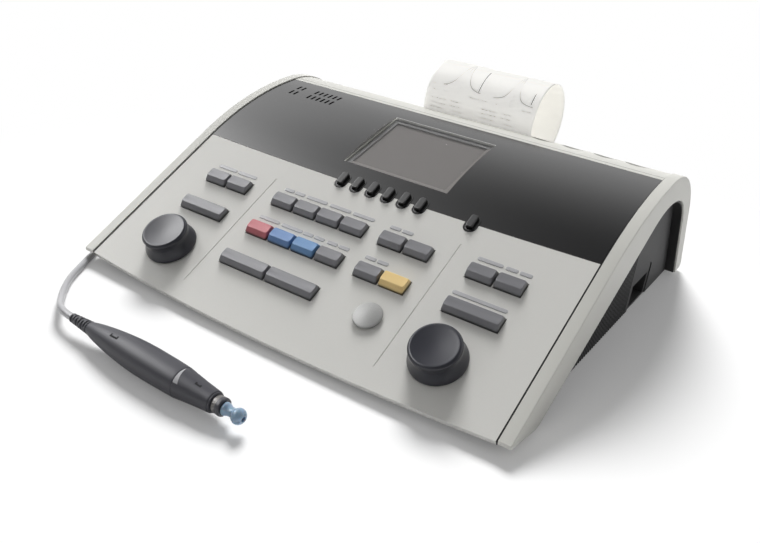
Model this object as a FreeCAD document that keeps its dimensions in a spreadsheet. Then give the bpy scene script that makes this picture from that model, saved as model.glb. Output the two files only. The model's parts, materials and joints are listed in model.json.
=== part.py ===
import FreeCAD, Part
import math
import os

import Sketcher

# Tabletop audiometer with a tympanometry probe.  Millimetres.
# X runs to the right, Y to the back and Z up from the table.  The control panel and everything
# on it are drawn in the deck frame: x to the right, s up the slope and n out of the panel.

SIZES = {
    # case
    "slope": 28.0,              # tilt of the control panel, degrees
    "half_width": 185.0,        # centre to the edge of panel, window and rear cover
    "edge_height": 11.0,        # table to the panel's front edge
    "panel_run": 153.7,         # length of the panel up the slope, at its sides
    "front_bow": 7.2,           # bulge of the panel's front edge
    "window_bow": 2.9,          # bulge of the window's lower edge
    "window_radius": 289.0,     # curve of the display window in side view
    "cover_strip": 2.19,        # white cover between the window and the crown's start
    "skin": 3.0,                # thickness of panel, window and rear cover
    "lip_drop": 1.5,            # front lip below the panel's underside
    "lip_wall": 2.5,
    "part_gap": 0.3,            # seam between neighbouring covers
    # side rails
    "rail_gap": 0.8,
    "rail_width": 9.2,
    "rail_proud": 1.0,
    "rail_edge": 0.8,           # rounding of the rails' long edges
    "leg_rear": 368.2,          # foot of the rear leg, back from the panel's front edge
    "ground_gap": 2.5,          # case and legs above the table
    "leg_lean": 26.5,           # rear legs from the vertical, degrees
    "leg_depth": 16.0,
    "leg_toe": 4.0,             # rounding of the leg's rear corner at the table
    "crown_radius": 86.0,
    "arch_back": 260.0,         # highest point of the side opening
    "arch_high": 95.5,
    "arch_radius": 93.0,
    "arch_corner": 50.0,
    "arch_slope": 25.5,
    "nose_height": 8.5,
    "keel_back": 38.0,
    "keel_height": 2.0,
    "liner": 1.6,               # thickness of the dark strip inside each arch
    # base tray
    "tray_front": 9.0,
    "tray_wall": 2.5,
    "tray_floor": 2.5,
    "tray_lip_height": 9.0,
    "rear_inset": 4.0,          # rear wall in front of the rails' rear line
    "rear_wall_height": 62.0,
    "rib_pitch": 4.0,
    "rib_groove": 2.0,
    "rib_depth": 0.9,
    "rib_start": 128.0,
    "rib_count": 27.0,
    "bay_start": 245.0,
    "bay_length": 37.0,
    "bay_height": 19.5,
    "bay_depth": 14.0,
    "bay_frame": 2.0,
    "recess_start": 240.0,
    "recess_length": 47.0,
    "recess_height": 34.0,
    "recess_depth": 0.8,
    "boss_radius": 5.0,
    "boss_height": 6.0,
    "foot_radius": 8.0,
    "foot_side": 25.0,          # case side to the feet's centres
    "foot_front": 52.0,
    "foot_back": 60.0,          # rear feet in front of the legs' foot
    "screw_radius": 1.5,
    "screw_head": 3.0,
    "screw_head_height": 1.6,
    "screw_inset": 10.0,        # main board's edge to its screws
    # main board and pump
    "main_left": 85.0,          # case side to the main board
    "main_right": 25.0,
    "main_front": 86.0,
    "main_back": 222.0,
    "chip_unit": 2.0,           # grid of the parts on the main board
    "pump_side": 17.0,
    "pump_back": 196.0,
    "pump_length": 28.0,
    "pump_depth": 36.0,
    "pump_height": 32.0,
    "pump_foot": 3.0,
    "motor_radius": 12.5,
    "motor_length": 26.0,
    "outlet_radius": 2.5,
    # keys
    "key_pitch": 23.0,
    "key_width": 21.2,
    "key_depth": 13.0,
    "key_height": 5.0,
    "key_skirt": 1.7,
    "key_top_width": 19.4,
    "key_top_depth": 8.4,
    "key_top_shift": 0.5,
    "key_corner": 1.2,
    "key_root": 5.0,            # key below the panel's face
    "key_play": 0.35,
    "key_travel": 1.2,
    "row_top_inset": 43.3,      # rear row of keys below the seam
    "row_low": 44.0,            # front row, from the panel's front edge
    "left_inset": 46.0,         # case side to the first key of the left block
    "mid_column": -66.6,
    "inner_column": 38.4,
    "right_inset": 70.8,        # case side to the first key of the right block
    "stem_radius": 1.6,
    "stem_play": 0.1,
    "stem_length": 4.2,
    "dome_column": 60.2,
    "dome_radius": 11.2,
    "dome_rim": 1.2,
    "dome_crown": 3.4,
    "soft_first": -36.5,
    "soft_pitch": 15.0,
    "soft_single": 84.0,
    "soft_inset": 2.3,          # centre of the soft keys below the seam
    "soft_width": 7.0,
    "soft_length": 13.4,
    "soft_height": 3.4,
    "soft_rim": 1.9,
    "soft_rim_proud": 0.4,
    "groove_offset": 1.3,       # right groove off the middle between its blocks
    "groove_start": 11.0,
    "groove_inset": 23.7,       # rear end of the grooves below the seam
    "groove_width": 0.8,
    "groove_depth": 0.4,
    # rotary knobs
    "knob_left_inset": 58.6,    # case side to the centre of the left knob
    "knob_right_inset": 61.9,
    "knob_row": 34.8,
    "knob_skirt_radius": 21.0,
    "knob_waist_radius": 18.2,
    "knob_top_radius": 18.6,
    "knob_shoulder": 2.0,       # rounded edge between the side and the dished top
    "knob_height": 18.0,
    "knob_lift": 0.8,
    "knob_dish": 1.6,
    "spindle_radius": 3.0,
    "spindle_play": 0.06,
    "bush_radius": 5.0,
    # keypad board
    "board_drop": 11.0,
    "board_thick": 1.6,
    "board_start": 16.0,
    "board_reach": 5.3,         # keypad board past the seam
    "board_side": 13.0,         # case side to the keypad board
    "pillar_radius": 3.5,
    "pillar_side": 25.0,        # case side to the outer pillars
    "pillar_front": 6.0,        # board's front edge to the first pillars
    "pillar_back": 25.0,
    "switch_side": 7.0,
    "switch_height": 3.6,
    # display
    "screen_half": 50.0,
    "screen_start": 3.57,       # lower edge of the screen, degrees round the window's curve
    "screen_end": 19.43,
    "lens_play": 0.1,
    "lens_sink": 0.3,           # flat pane below the window's face at its two ends
    "lens_thick": 1.5,
    "lcd_margin": 8.0,
    "lcd_depth": 15.0,
    "lcd_plate": 4.0,
    "lcd_wall": 3.0,
    "lcd_border": 5.0,          # dark frame round the display's field
    "lcd_sink": 1.2,            # field below the pane's seat
    "slot_side": 19.4,          # case side to the first speaker slot
    "slot_pitch": 5.32,
    "slot_short_count": 2.0,    # slots in the short group, the bar after it and the long group
    "slot_skip": 2.0,
    "slot_long_count": 6.0,
    "slot_width": 2.2,
    "slot_angle": 1.55,         # length of one speaker slot, degrees round the curve
    "slot_low": 18.0,
    "slot_high": 20.4,
    "speaker_side": 44.0,
    "speaker_radius": 20.0,
    "speaker_depth": 14.0,
    # rear cover, lid and printer
    "cover_low": 58.0,
    "lid_centre": -4.0,
    "lid_width": 130.0,
    "lid_start": 7.55,          # front edge of the lid, degrees round the crown
    "lid_end": 51.0,
    "hinge_angle": 53.8,
    "hinge_inset": 2.5,
    "hinge_barrel": 2.4,
    "hinge_pin": 1.5,
    "hinge_play": 0.05,
    "hinge_reach": 4.0,
    "hinge_room": 3.2,          # degrees of crown cleared behind the hinge
    "paper_side": 9.0,          # lid's edge to the paper
    "paper_thick": 0.3,
    "paper_behind": 27.866,    # paper behind the crown's centre
    "curl_radius": 35.5,
    "curl_rise": 85.478,        # centre of the curl over the crown's centre
    "curl_end": 48.0,
    "slot_half_angle": 1.7,
    "print_gap": 0.3,
    "platen_radius": 6.0,
    "platen_rise": 65.478,      # platen over the crown's centre
    "platen_shaft": 2.0,
    "lug_thick": 2.5,
    "roll_radius": 23.0,
    "roll_core": 6.0,
    "roll_rise": 40.478,
    "printer_side": 7.0,        # paper's edge to the printer's outer face
    "cheek": 2.5,
    "dish_gap": 11.0,           # lid's edge to the first dish
    "dish_side": 28.1,          # case side to the last dish
    "dish_count": 4.0,
    "dish_ball": 13.0,
    "dish_depth": 6.0,
    "dish_angle": 14.5,
    "dish_spread": 9.8,         # half length of the block that holds the dishes, degrees
    # rear sockets
    "jack_first": -104.0,
    "jack_pitch": 26.0,
    "jack_count": 8.0,
    "jack_height": 30.0,
    "jack_radius": 4.5,
    "jack_nut": 6.5,
    "jack_bore": 3.2,
    "inlet_side": 53.0,
    "inlet_width": 28.0,
    "inlet_height": 20.0,
    "rocker_side": 20.0,
    "rocker_width": 12.0,
    "rocker_length": 20.0,
    "rocker_wall": 1.6,
    "rocker_play": 0.3,
    "rocker_tilt": 7.0,
    "rocker_pin": 1.5,
    "probe_socket_side": 35.0,
    "plug_radius": 7.0,
    "plug_pin": 3.5,
    "plug_pin_length": 8.0,
    "plug_play": 0.1,
    "plug_length": 26.0,
    "plug_exit": 20.0,
    # probe
    "probe_left": -91.0,
    "probe_front": 78.0,        # in front of the panel's front edge, at its tail
    "probe_yaw": 2.5,
    "probe_radius": 11.5,
    "probe_crest": 61.0,        # thickest place, from the tail
    "probe_length": 125.0,
    "probe_joint": 95.0,
    "relief_length": 19.0,
    "cord_radius": 2.8,
    "tip_neck": 3.3,
    "tip_bulb": 5.4,
    "tip_length": 16.0,
    "tip_bore": 1.6,
    "tube_length": 9.0,
    "tube_wall": 0.9,
    "tip_play": 0.3,
    "nut_length": 7.0,
    "nut_radius": 6.2,
    # cord coil
    "coil_x": -250.0,
    "coil_back": 235.0,
    "coil_radius": 35.0,
    "coil_turns_wide": 2.0,
    "coil_turns_high": 2.0,
    "lead_in": 30.0,
}

doc = FreeCAD.newDocument("audiometer")
sheet = doc.addObject("Spreadsheet::Sheet", "Sizes")


# ---------------------------------------------------------------- sizes that carry their expression

class Size:
    """A number together with the spreadsheet expression that gives it."""

    def __init__(self, value, text):
        self.value = float(value)
        self.text = text

    def __add__(self, other):
        other = as_size(other)
        return Size(self.value + other.value, "(%s + %s)" % (self.text, other.text))

    def __sub__(self, other):
        other = as_size(other)
        return Size(self.value - other.value, "(%s - %s)" % (self.text, other.text))

    def __mul__(self, other):
        other = as_size(other)
        return Size(self.value * other.value, "(%s * %s)" % (self.text, other.text))

    def __truediv__(self, other):
        other = as_size(other)
        return Size(self.value / other.value, "(%s / %s)" % (self.text, other.text))

    def __radd__(self, other):
        return as_size(other) + self

    def __rsub__(self, other):
        return as_size(other) - self

    def __rmul__(self, other):
        return as_size(other) * self

    def __rtruediv__(self, other):
        return as_size(other) / self

    def __neg__(self):
        return Size(-self.value, "(0 - %s)" % self.text)


def as_size(thing):
    """A plain number is a size whose expression is the number itself."""
    if isinstance(thing, Size):
        return thing
    return Size(thing, "(%.9g)" % float(thing))


def sin(angle):
    angle = as_size(angle)
    return Size(math.sin(math.radians(angle.value)), "sin(%s)" % angle.text)


def cos(angle):
    angle = as_size(angle)
    return Size(math.cos(math.radians(angle.value)), "cos(%s)" % angle.text)


def tan(angle):
    angle = as_size(angle)
    return Size(math.tan(math.radians(angle.value)), "tan(%s)" % angle.text)


def larger(a, b):
    return Size(max(a.value, b.value), "max(%s; %s)" % (a.text, b.text))


def arc_sine(share):
    return Size(math.degrees(math.asin(share.value)), "(asin(%s) / 1 deg)" % share.text)


def root(size):
    size = as_size(size)
    return Size(math.sqrt(size.value), "sqrt(%s)" % size.text)


class Table:
    """The spreadsheet's values, each with the alias of its cell."""

    def __init__(self):
        self.row = 0

    def cell(self, name, content, value):
        self.row += 1
        sheet.set("A%d" % self.row, name)
        sheet.set("B%d" % self.row, content)
        sheet.setAlias("B%d" % self.row, name)
        size = Size(value, "Sizes." + name)
        setattr(self, name, size)
        return size

    def derive(self, name, size):
        """A cell whose content follows from other cells."""
        return self.cell(name, "=" + size.text.replace("Sizes.", ""), size.value)


D = Table()
for alias, number in SIZES.items():
    D.cell(alias, repr(number), number)
doc.recompute()


# ---------------------------------------------------------------- derived sizes

def point(y, z):
    return (as_size(y), as_size(z))


def plus(a, b):
    return (a[0] + b[0], a[1] + b[1])


def times(a, k):
    return (a[0] * k, a[1] * k)


def named(name, pair):
    """Keeps a point as two cells of the sheet."""
    return (D.derive(name + "_y", pair[0]), D.derive(name + "_z", pair[1]))


def dot(a, b):
    return a[0] * b[0] + a[1] * b[1]


D.derive("rail_inner", D.half_width + D.rail_gap)
D.derive("rail_outer", D.rail_inner + D.rail_width)
D.derive("full_width", D.half_width * 2)
D.derive("front_radius", (D.half_width * D.half_width + D.front_bow * D.front_bow) / (D.front_bow * 2))
D.derive("seam_radius", (D.half_width * D.half_width + D.window_bow * D.window_bow) / (D.window_bow * 2))
D.derive("board_top", -D.board_drop)

# places on the panel, and across the case
D.derive("row_top", D.panel_run - D.row_top_inset)
D.derive("row_mid", (D.row_top + D.row_low) / 2)
D.derive("soft_row", D.panel_run - D.soft_inset)
D.derive("groove_end", D.panel_run - D.groove_inset)
D.derive("board_end", D.panel_run + D.board_reach)
D.derive("board_half", D.half_width - D.board_side)
for column, side in (("left_column", "left_inset"), ("slot_first", "slot_side"),
                     ("knob_left", "knob_left_inset"), ("speaker_column", "speaker_side"),
                     ("probe_socket_column", "probe_socket_side")):
    D.derive(column, getattr(D, side) - D.half_width)
for column, side in (("right_column", "right_inset"), ("knob_right", "knob_right_inset"),
                     ("inlet_column", "inlet_side"), ("rocker_column", "rocker_side")):
    D.derive(column, D.half_width - getattr(D, side))
D.derive("groove_left", (D.left_column + D.key_pitch + D.mid_column) / 2)
D.derive("groove_right", (D.inner_column + D.key_pitch + D.right_column) / 2 - D.groove_offset)
D.derive("dish_first", D.lid_centre + D.lid_width / 2 + D.dish_gap)
D.derive("dish_pitch", (D.half_width - D.dish_side - D.dish_first) / (D.dish_count - 1))
D.derive("paper_width", D.lid_width - D.paper_side * 2)
D.derive("printer_half", D.paper_width / 2 + D.printer_side)

up_slope = point(cos(D.slope), sin(D.slope))
off_slope = point(-sin(D.slope), cos(D.slope))
front_edge = point(0, D.edge_height)
seam = named("seam", plus(front_edge, times(up_slope, D.panel_run)))
bow_centre = named("bow_centre", plus(seam, times(off_slope, -D.window_radius)))

# rear line of the legs, and the crown arc that joins it to the window's curve
leg_foot = point(D.leg_rear, D.ground_gap)
up_leg = point(-sin(D.leg_lean), cos(D.leg_lean))
into_case = point(-cos(D.leg_lean), -sin(D.leg_lean))


def corner_centre(name, centre, big, foot, small):
    """Centre of the arc inside a big circle that also touches the leg line through foot."""
    w = (foot[0] + into_case[0] * small - centre[0], foot[1] + into_case[1] * small - centre[1])
    along = dot(up_leg, w)
    reach = root(along * along - dot(w, w) + (big - small) * (big - small)) - along
    return named(name, plus(plus(foot, times(into_case, small)), times(up_leg, reach)))


def toward(name, start, end, distance):
    """Unit direction from start to end, kept as cells."""
    return named(name, ((end[0] - start[0]) / distance, (end[1] - start[1]) / distance))


D.derive("rail_bow", D.window_radius + D.rail_proud)
crown = corner_centre("crown", bow_centre, D.rail_bow, leg_foot, D.crown_radius)
crown_way = toward("crown_way", bow_centre, crown, D.rail_bow - D.crown_radius)
D.derive("window_turn", D.slope + arc_sine(crown_way[0]) - D.cover_strip / D.window_radius * (180 / math.pi))
D.derive("paper_back", crown[0] + D.paper_behind)
D.derive("curl_height", crown[1] + D.curl_rise)
D.derive("platen_height", crown[1] + D.platen_rise)
D.derive("roll_height", crown[1] + D.roll_rise)
D.derive("roll_back", D.paper_back - D.paper_thick / 2 - D.print_gap - D.roll_radius)
D.derive("crown_case", D.crown_radius - D.rail_proud)
D.derive("crown_inner", D.crown_case - D.skin)

arch_centre = point(D.arch_back, D.arch_high - D.arch_radius)
leg_inner_foot = named("leg_inner", plus(leg_foot, times(into_case, D.leg_depth)))
arch_bend = corner_centre("arch_bend", arch_centre, D.arch_radius, leg_inner_foot, D.arch_corner)
arch_way = toward("arch_way", arch_centre, arch_bend, D.arch_radius - D.arch_corner)

# rounded rear corner of the legs
D.derive("toe_reach", D.leg_toe / tan((as_size(90) - D.leg_lean) / 2))
toe_up = plus(leg_foot, times(up_leg, D.toe_reach))
toe_low = (D.leg_rear - D.toe_reach, D.ground_gap)

# the whole object is centred front to back over its footprint
D.derive("front_end", D.probe_front + sin(D.probe_yaw) * D.probe_crest + D.probe_radius)
D.derive("rear_end", larger(toe_low[0] + D.leg_toe,
                            D.paper_back + D.curl_radius * 2 + D.paper_thick / 2))
D.derive("origin_y", (D.front_end - D.rear_end) / 2)


def on_case(inset):
    """Case outline at a depth under the surface: seam, crown start, crown end."""
    reach = D.window_radius - inset
    start = plus(bow_centre, times(off_slope, reach))
    crown_start = plus(bow_centre, times(crown_way, reach))
    crown_end = plus(crown, times(into_case, -(D.crown_case - inset)))
    return start, crown_start, crown_end


def on_crown(radius, angle):
    """Point at a radius and an angle from the vertical, round the crown's centre."""
    return plus(crown, point(sin(angle) * radius, cos(angle) * radius))


def leg_line(inset, height):
    """Point of the rear line at a height, moved into the case by an inset."""
    back = D.leg_rear - inset / cos(D.leg_lean) - (as_size(height) - D.ground_gap) * tan(D.leg_lean)
    return (back, as_size(height))


def deck_yz(s, n):
    """Side-view place of a deck point, from the panel's front edge."""
    return plus(plus(front_edge, times(up_slope, as_size(s))), times(off_slope, as_size(n)))


def on_bow(inset, angle):
    """Deck place (s, n) at a depth under the window and an angle round its curve."""
    reach = D.window_radius - inset
    return (D.panel_run + reach * sin(angle), reach * cos(angle) - D.window_radius)


# ---------------------------------------------------------------- drawing helpers

def bind(thing, prop, size):
    size = as_size(size)
    thing.setExpression(prop, size.text)


def origin_plane(body, role):
    for feature in body.Origin.OriginFeatures:
        if feature.Role == role:
            return feature
    raise ValueError("no origin feature " + role)


def new_body(label, y=None, z=None, x=None, tilt=None, turn=None):
    """Body placed at (x, y, z) from the panel's front edge, tilted about X or turned about Z."""
    body = doc.addObject("PartDesign::Body", label)
    body.Label = label
    place(body, x, y, z, tilt, turn)
    return body


def place(thing, x=None, y=None, z=None, tilt=None, turn=None):
    if tilt is not None:
        thing.Placement = FreeCAD.Placement(
            FreeCAD.Vector(0, 0, 0), FreeCAD.Rotation(FreeCAD.Vector(1, 0, 0), as_size(tilt).value))
        bind(thing, "Placement.Rotation.Angle", tilt)
    if turn is not None:
        thing.Placement = FreeCAD.Placement(
            FreeCAD.Vector(0, 0, 0), FreeCAD.Rotation(FreeCAD.Vector(0, 0, 1), as_size(turn).value))
        bind(thing, "Placement.Rotation.Angle", turn)
    bind(thing, "Placement.Base.x", 0 if x is None else x)
    bind(thing, "Placement.Base.y", D.origin_y if y is None else D.origin_y + y)
    bind(thing, "Placement.Base.z", 0 if z is None else z)


def deck_body(label, x=0, s=0):
    """Body in the deck frame, its origin on the panel's face at (x, s)."""
    spot = deck_yz(s, 0)
    return new_body(label, x=x, y=spot[0], z=spot[1], tilt=D.slope)


def sketch_on(body, role, name, offset=None):
    """Sketch on an origin plane of its own body, moved along the plane's normal."""
    sketch = body.newObject("Sketcher::SketchObject", name)
    sketch.AttachmentSupport = (origin_plane(body, role), [""])
    sketch.MapMode = "FlatFace"
    if offset is not None:
        bind(sketch, "AttachmentOffset.Base.z", offset)
    return sketch


def tilted_sketch(body, name, y, z, tilt):
    """Sketch whose plane passes through (y, z) and is tilted about X."""
    sketch = body.newObject("Sketcher::SketchObject", name)
    sketch.AttachmentSupport = (origin_plane(body, "XY_Plane"), [""])
    sketch.MapMode = "FlatFace"
    sketch.AttachmentOffset = FreeCAD.Placement(
        FreeCAD.Vector(0, 0, 0), FreeCAD.Rotation(FreeCAD.Vector(1, 0, 0), as_size(tilt).value))
    bind(sketch, "AttachmentOffset.Rotation.Angle", tilt)
    bind(sketch, "AttachmentOffset.Base.y", y)
    bind(sketch, "AttachmentOffset.Base.z", z)
    return sketch


def pin_point(sketch, geometry, end, x, y):
    """Holds a point of the sketch at (x, y)."""
    for kind, axis, size in (("DistanceX", -2, as_size(x)), ("DistanceY", -1, as_size(y))):
        if abs(size.value) < 1e-9:
            sketch.addConstraint(Sketcher.Constraint("PointOnObject", geometry, end, axis))
            continue
        index = sketch.addConstraint(
            Sketcher.Constraint(kind, -1, 1, geometry, end, size.value))
        bind(sketch, "Constraints[%d]" % index, size)


def outline(sketch, *corners):
    """Closed outline.  A corner is (x, y), or (x, y, radius, side) where an arc starts there;
    side is 1 where the arc's centre lies to the left of the way, and -1 to the right."""
    corners = [tuple(as_size(v) for v in corner[:3]) + tuple(corner[3:]) for corner in corners]
    ends = []
    for index, corner in enumerate(corners):
        after = corners[(index + 1) % len(corners)]
        p = FreeCAD.Vector(corner[0].value, corner[1].value, 0)
        q = FreeCAD.Vector(after[0].value, after[1].value, 0)
        if len(corner) == 2:
            ends.append((sketch.addGeometry(Part.LineSegment(p, q), False), 1, 2))
            continue
        radius, side = corner[2], corner[3]
        chord = q - p
        left = FreeCAD.Vector(-chord.y, chord.x, 0).normalize()
        height = math.sqrt(max(radius.value ** 2 - chord.Length ** 2 / 4, 0))
        centre = (p + q) * 0.5 + left * (height * side)
        first, last = (p, q) if side > 0 else (q, p)
        circle = Part.Circle(centre, FreeCAD.Vector(0, 0, 1), radius.value)
        arc = Part.ArcOfCircle(circle, circle.parameter(first), circle.parameter(last))
        geometry = sketch.addGeometry(arc, False)
        ends.append((geometry, 1, 2) if side > 0 else (geometry, 2, 1))
        number = sketch.addConstraint(Sketcher.Constraint("Radius", geometry, radius.value))
        bind(sketch, "Constraints[%d]" % number, radius)
    for index, (geometry, start, _) in enumerate(ends):
        before, _, finish = ends[index - 1]
        sketch.addConstraint(Sketcher.Constraint("Coincident", before, finish, geometry, start))
        pin_point(sketch, geometry, start, corners[index][0], corners[index][1])


def rectangle(sketch, x0, y0, x1, y1):
    outline(sketch, (x0, y0), (x1, y0), (x1, y1), (x0, y1))


def centred(sketch, x, y, width, height):
    x, y, width, height = (as_size(v) for v in (x, y, width, height))
    rectangle(sketch, x - width / 2, y - height / 2, x + width / 2, y + height / 2)


def circle(sketch, x, y, radius):
    x, y, radius = as_size(x), as_size(y), as_size(radius)
    geometry = sketch.addGeometry(
        Part.Circle(FreeCAD.Vector(x.value, y.value, 0), FreeCAD.Vector(0, 0, 1), radius.value), False)
    number = sketch.addConstraint(Sketcher.Constraint("Radius", geometry, radius.value))
    bind(sketch, "Constraints[%d]" % number, radius)
    pin_point(sketch, geometry, 3, x, y)


def oval(sketch, x, y, width, length):
    """Rounded slot, long in the sketch's second direction."""
    x, y, width, length = (as_size(v) for v in (x, y, width, length))
    radius = width / 2
    reach = (length - width) / 2
    r, cx = radius.value, x.value
    high, low = y + reach, y - reach
    z = FreeCAD.Vector(0, 0, 1)
    top = sketch.addGeometry(Part.ArcOfCircle(
        Part.Circle(FreeCAD.Vector(cx, high.value, 0), z, r), 0, math.pi), False)
    bottom = sketch.addGeometry(Part.ArcOfCircle(
        Part.Circle(FreeCAD.Vector(cx, low.value, 0), z, r), math.pi, 2 * math.pi), False)
    left = sketch.addGeometry(Part.LineSegment(
        FreeCAD.Vector(cx - r, high.value, 0), FreeCAD.Vector(cx - r, low.value, 0)), False)
    right = sketch.addGeometry(Part.LineSegment(
        FreeCAD.Vector(cx + r, low.value, 0), FreeCAD.Vector(cx + r, high.value, 0)), False)
    for pair in ((top, 2, left, 1), (left, 2, bottom, 1), (bottom, 2, right, 1), (right, 2, top, 1)):
        sketch.addConstraint(Sketcher.Constraint("Tangent", *pair))
    number = sketch.addConstraint(Sketcher.Constraint("Radius", top, r))
    bind(sketch, "Constraints[%d]" % number, radius)
    sketch.addConstraint(Sketcher.Constraint("Equal", top, bottom))
    pin_point(sketch, top, 3, x, high)
    pin_point(sketch, bottom, 3, x, low)


def sector(sketch, centre, inner, outer, start, end):
    """Ring sector; the angles run clockwise from straight up, in degrees."""
    def spot(radius, angle):
        return (centre[0] + as_size(radius) * sin(angle), centre[1] + as_size(radius) * cos(angle))
    outline(sketch, spot(inner, start) + (inner, -1), spot(inner, end),
            spot(outer, end) + (outer, 1), spot(outer, start))


def pad(body, sketch, name, length, both=False, down=False):
    feature = body.newObject("PartDesign::Pad", name)
    feature.Profile = sketch
    bind(feature, "Length", length)
    set_sides(feature, both, down)
    sketch.Visibility = False
    return feature


def pocket(body, sketch, name, length, both=False, down=True):
    """Cut along the sketch's normal; down cuts against it, which is a pocket's own way."""
    feature = body.newObject("PartDesign::Pocket", name)
    feature.Profile = sketch
    bind(feature, "Length", length)
    set_sides(feature, both, not down)
    return feature


def set_sides(feature, both, reverse):
    if both:
        feature.SideType = "Symmetric"
    feature.Reversed = reverse


def revolve(body, sketch, name, axis, cut=False):
    kind = "PartDesign::Groove" if cut else "PartDesign::Revolution"
    feature = body.newObject(kind, name)
    feature.Profile = sketch
    feature.ReferenceAxis = (sketch, [axis])
    feature.Angle = 360.0
    return feature


def row_of(body, feature, name, pitch, count, role="X_Axis"):
    """Repeats a feature along an axis of the body's origin."""
    pattern = body.newObject("PartDesign::LinearPattern", name)
    pattern.Originals = [feature]
    pattern.Direction = (origin_plane(body, role), [""])
    count = as_size(count)
    pattern.Occurrences = int(round(count.value))
    bind(pattern, "Length", as_size(pitch) * (round(count.value) - 1))
    body.Tip = pattern
    return pattern


def edges_where(shape, test):
    """Names of the shape's edges whose box passes a test."""
    return ["Edge%d" % (i + 1) for i, edge in enumerate(shape.Edges) if test(edge.BoundBox)]


def soften(body, base, name, radius, test, kind="PartDesign::Fillet"):
    """Rounds the edges of the last feature that pass a test."""
    doc.recompute()
    names = edges_where(base.Shape, test)
    if not names:
        raise ValueError("no edges for " + name)
    feature = body.newObject(kind, name)
    feature.Base = (base, names)
    bind(feature, "Radius" if kind.endswith("Fillet") else "Size", radius)
    return feature


def box(name, x0, y0, z0, x1, y1, z1, raw=False):
    """Box between two corners; y is counted from the panel's front edge unless raw."""
    x0, y0, z0, x1, y1, z1 = (as_size(v) for v in (x0, y0, z0, x1, y1, z1))
    solid = doc.addObject("Part::Box", name)
    bind(solid, "Length", x1 - x0)
    bind(solid, "Width", y1 - y0)
    bind(solid, "Height", z1 - z0)
    bind(solid, "Placement.Base.x", x0)
    bind(solid, "Placement.Base.y", y0 if raw else D.origin_y + y0)
    bind(solid, "Placement.Base.z", z0)
    return solid


AXES = {"x": FreeCAD.Rotation(FreeCAD.Vector(0, 1, 0), 90),
        "y": FreeCAD.Rotation(FreeCAD.Vector(1, 0, 0), -90),
        "z": FreeCAD.Rotation()}


def rod(name, x, y, z, radius, length, axis="z", raw=False):
    """Cylinder from a point along a positive axis."""
    y = as_size(y)
    solid = doc.addObject("Part::Cylinder", name)
    solid.Placement = FreeCAD.Placement(FreeCAD.Vector(0, 0, 0), AXES[axis])
    bind(solid, "Radius", radius)
    bind(solid, "Height", length)
    bind(solid, "Placement.Base.x", x)
    bind(solid, "Placement.Base.y", y if raw else D.origin_y + y)
    bind(solid, "Placement.Base.z", z)
    return solid


def fuse(label, *parts):
    joined = doc.addObject("Part::MultiFuse", label)
    joined.Shapes = list(parts)
    joined.Label = label
    return joined


def cut(label, base, *tools):
    tool = tools[0] if len(tools) == 1 else fuse(label + "_tools", *tools)
    result = doc.addObject("Part::Cut", label)
    result.Base = base
    result.Tool = tool
    result.Label = label
    return result


def group(label, *parts):
    """Identical pieces that share one node, as separate solids."""
    held = doc.addObject("Part::Compound", label)
    held.Links = list(parts)
    held.Label = label
    return held


def seat_on_deck(thing, x=0, s=0, n=0):
    """Moves a finished object into the deck frame at (x, s, n)."""
    spot = deck_yz(s, n)
    place(thing, x=x, y=spot[0], z=spot[1], tilt=D.slope)
    return thing


nodes = []


def keep(thing):
    nodes.append(thing)
    return thing


# ---------------------------------------------------------------- side rails and their liners

def arch_path(inset):
    """The side opening's edge, from the keel over the arch and down the leg, moved inwards."""
    radius = D.arch_radius - inset
    bend = D.arch_corner - inset
    rise = point(-sin(D.arch_slope) * radius, cos(D.arch_slope) * radius)
    top_front = plus(arch_centre, rise)
    low_front = (top_front[0] - (top_front[1] - D.ground_gap) / tan(D.arch_slope), D.ground_gap)
    meet = plus(arch_centre, times(arch_way, radius))
    bend_end = plus(arch_bend, times(into_case, -bend))
    foot = leg_line(D.leg_depth + inset, D.ground_gap)
    return low_front, top_front, radius, meet, bend, bend_end, foot


def side_rail(side):
    """One arch-shaped rail: nose, slope, crown and rear leg in one band."""
    label = "side_rail_left" if side < 0 else "side_rail_right"
    body = new_body(label)
    proud = D.rail_proud
    nose_top = (as_size(0), D.edge_height + proud / cos(D.slope))
    slope_end = plus(bow_centre, times(off_slope, D.rail_bow))
    crown_start = plus(bow_centre, times(crown_way, D.rail_bow))
    crown_end = plus(crown, times(into_case, -D.crown_radius))
    low, rise, big, meet, bend, bend_end, foot = arch_path(as_size(0))
    sketch = sketch_on(body, "YZ_Plane", "Side", (D.rail_inner if side > 0 else -D.rail_outer))
    outline(sketch,
            nose_top, slope_end + (D.rail_bow, -1), crown_start + (D.crown_radius, -1),
            crown_end, toe_up + (D.leg_toe, -1), toe_low, foot, bend_end + (bend, 1), meet + (big, 1), rise, low,
            (D.keel_back, D.keel_height), (as_size(2), D.nose_height), (as_size(0), D.nose_height + 1))
    band = pad(body, sketch, "Band", D.rail_width)
    outer = side * D.rail_outer.value

    def long_edge(b):
        return abs(b.XMin - outer) < 0.01 and abs(b.XMax - outer) < 0.01

    soften(body, band, "EdgeRounding", D.rail_edge, long_edge)
    return keep(body)


def arch_liner(side):
    """Dark strip that lines the side opening, as deep as the rail."""
    body = new_body("liner_left" if side < 0 else "liner_right")
    low, rise, big, meet, bend, bend_end, foot = arch_path(as_size(0))
    low_in, rise_in, big_in, meet_in, bend_in, end_in, foot_in = arch_path(D.liner)
    start = D.rail_inner if side > 0 else -D.rail_outer + D.liner
    sketch = sketch_on(body, "YZ_Plane", "Side", start)
    outline(sketch,
            foot, bend_end + (bend, 1), meet + (big, 1), rise, low,
            low_in, rise_in + (big_in, -1), meet_in + (bend_in, -1), end_in, foot_in)
    pad(body, sketch, "Strip", D.rail_width - D.liner)
    return body


# ---------------------------------------------------------------- base tray

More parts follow.
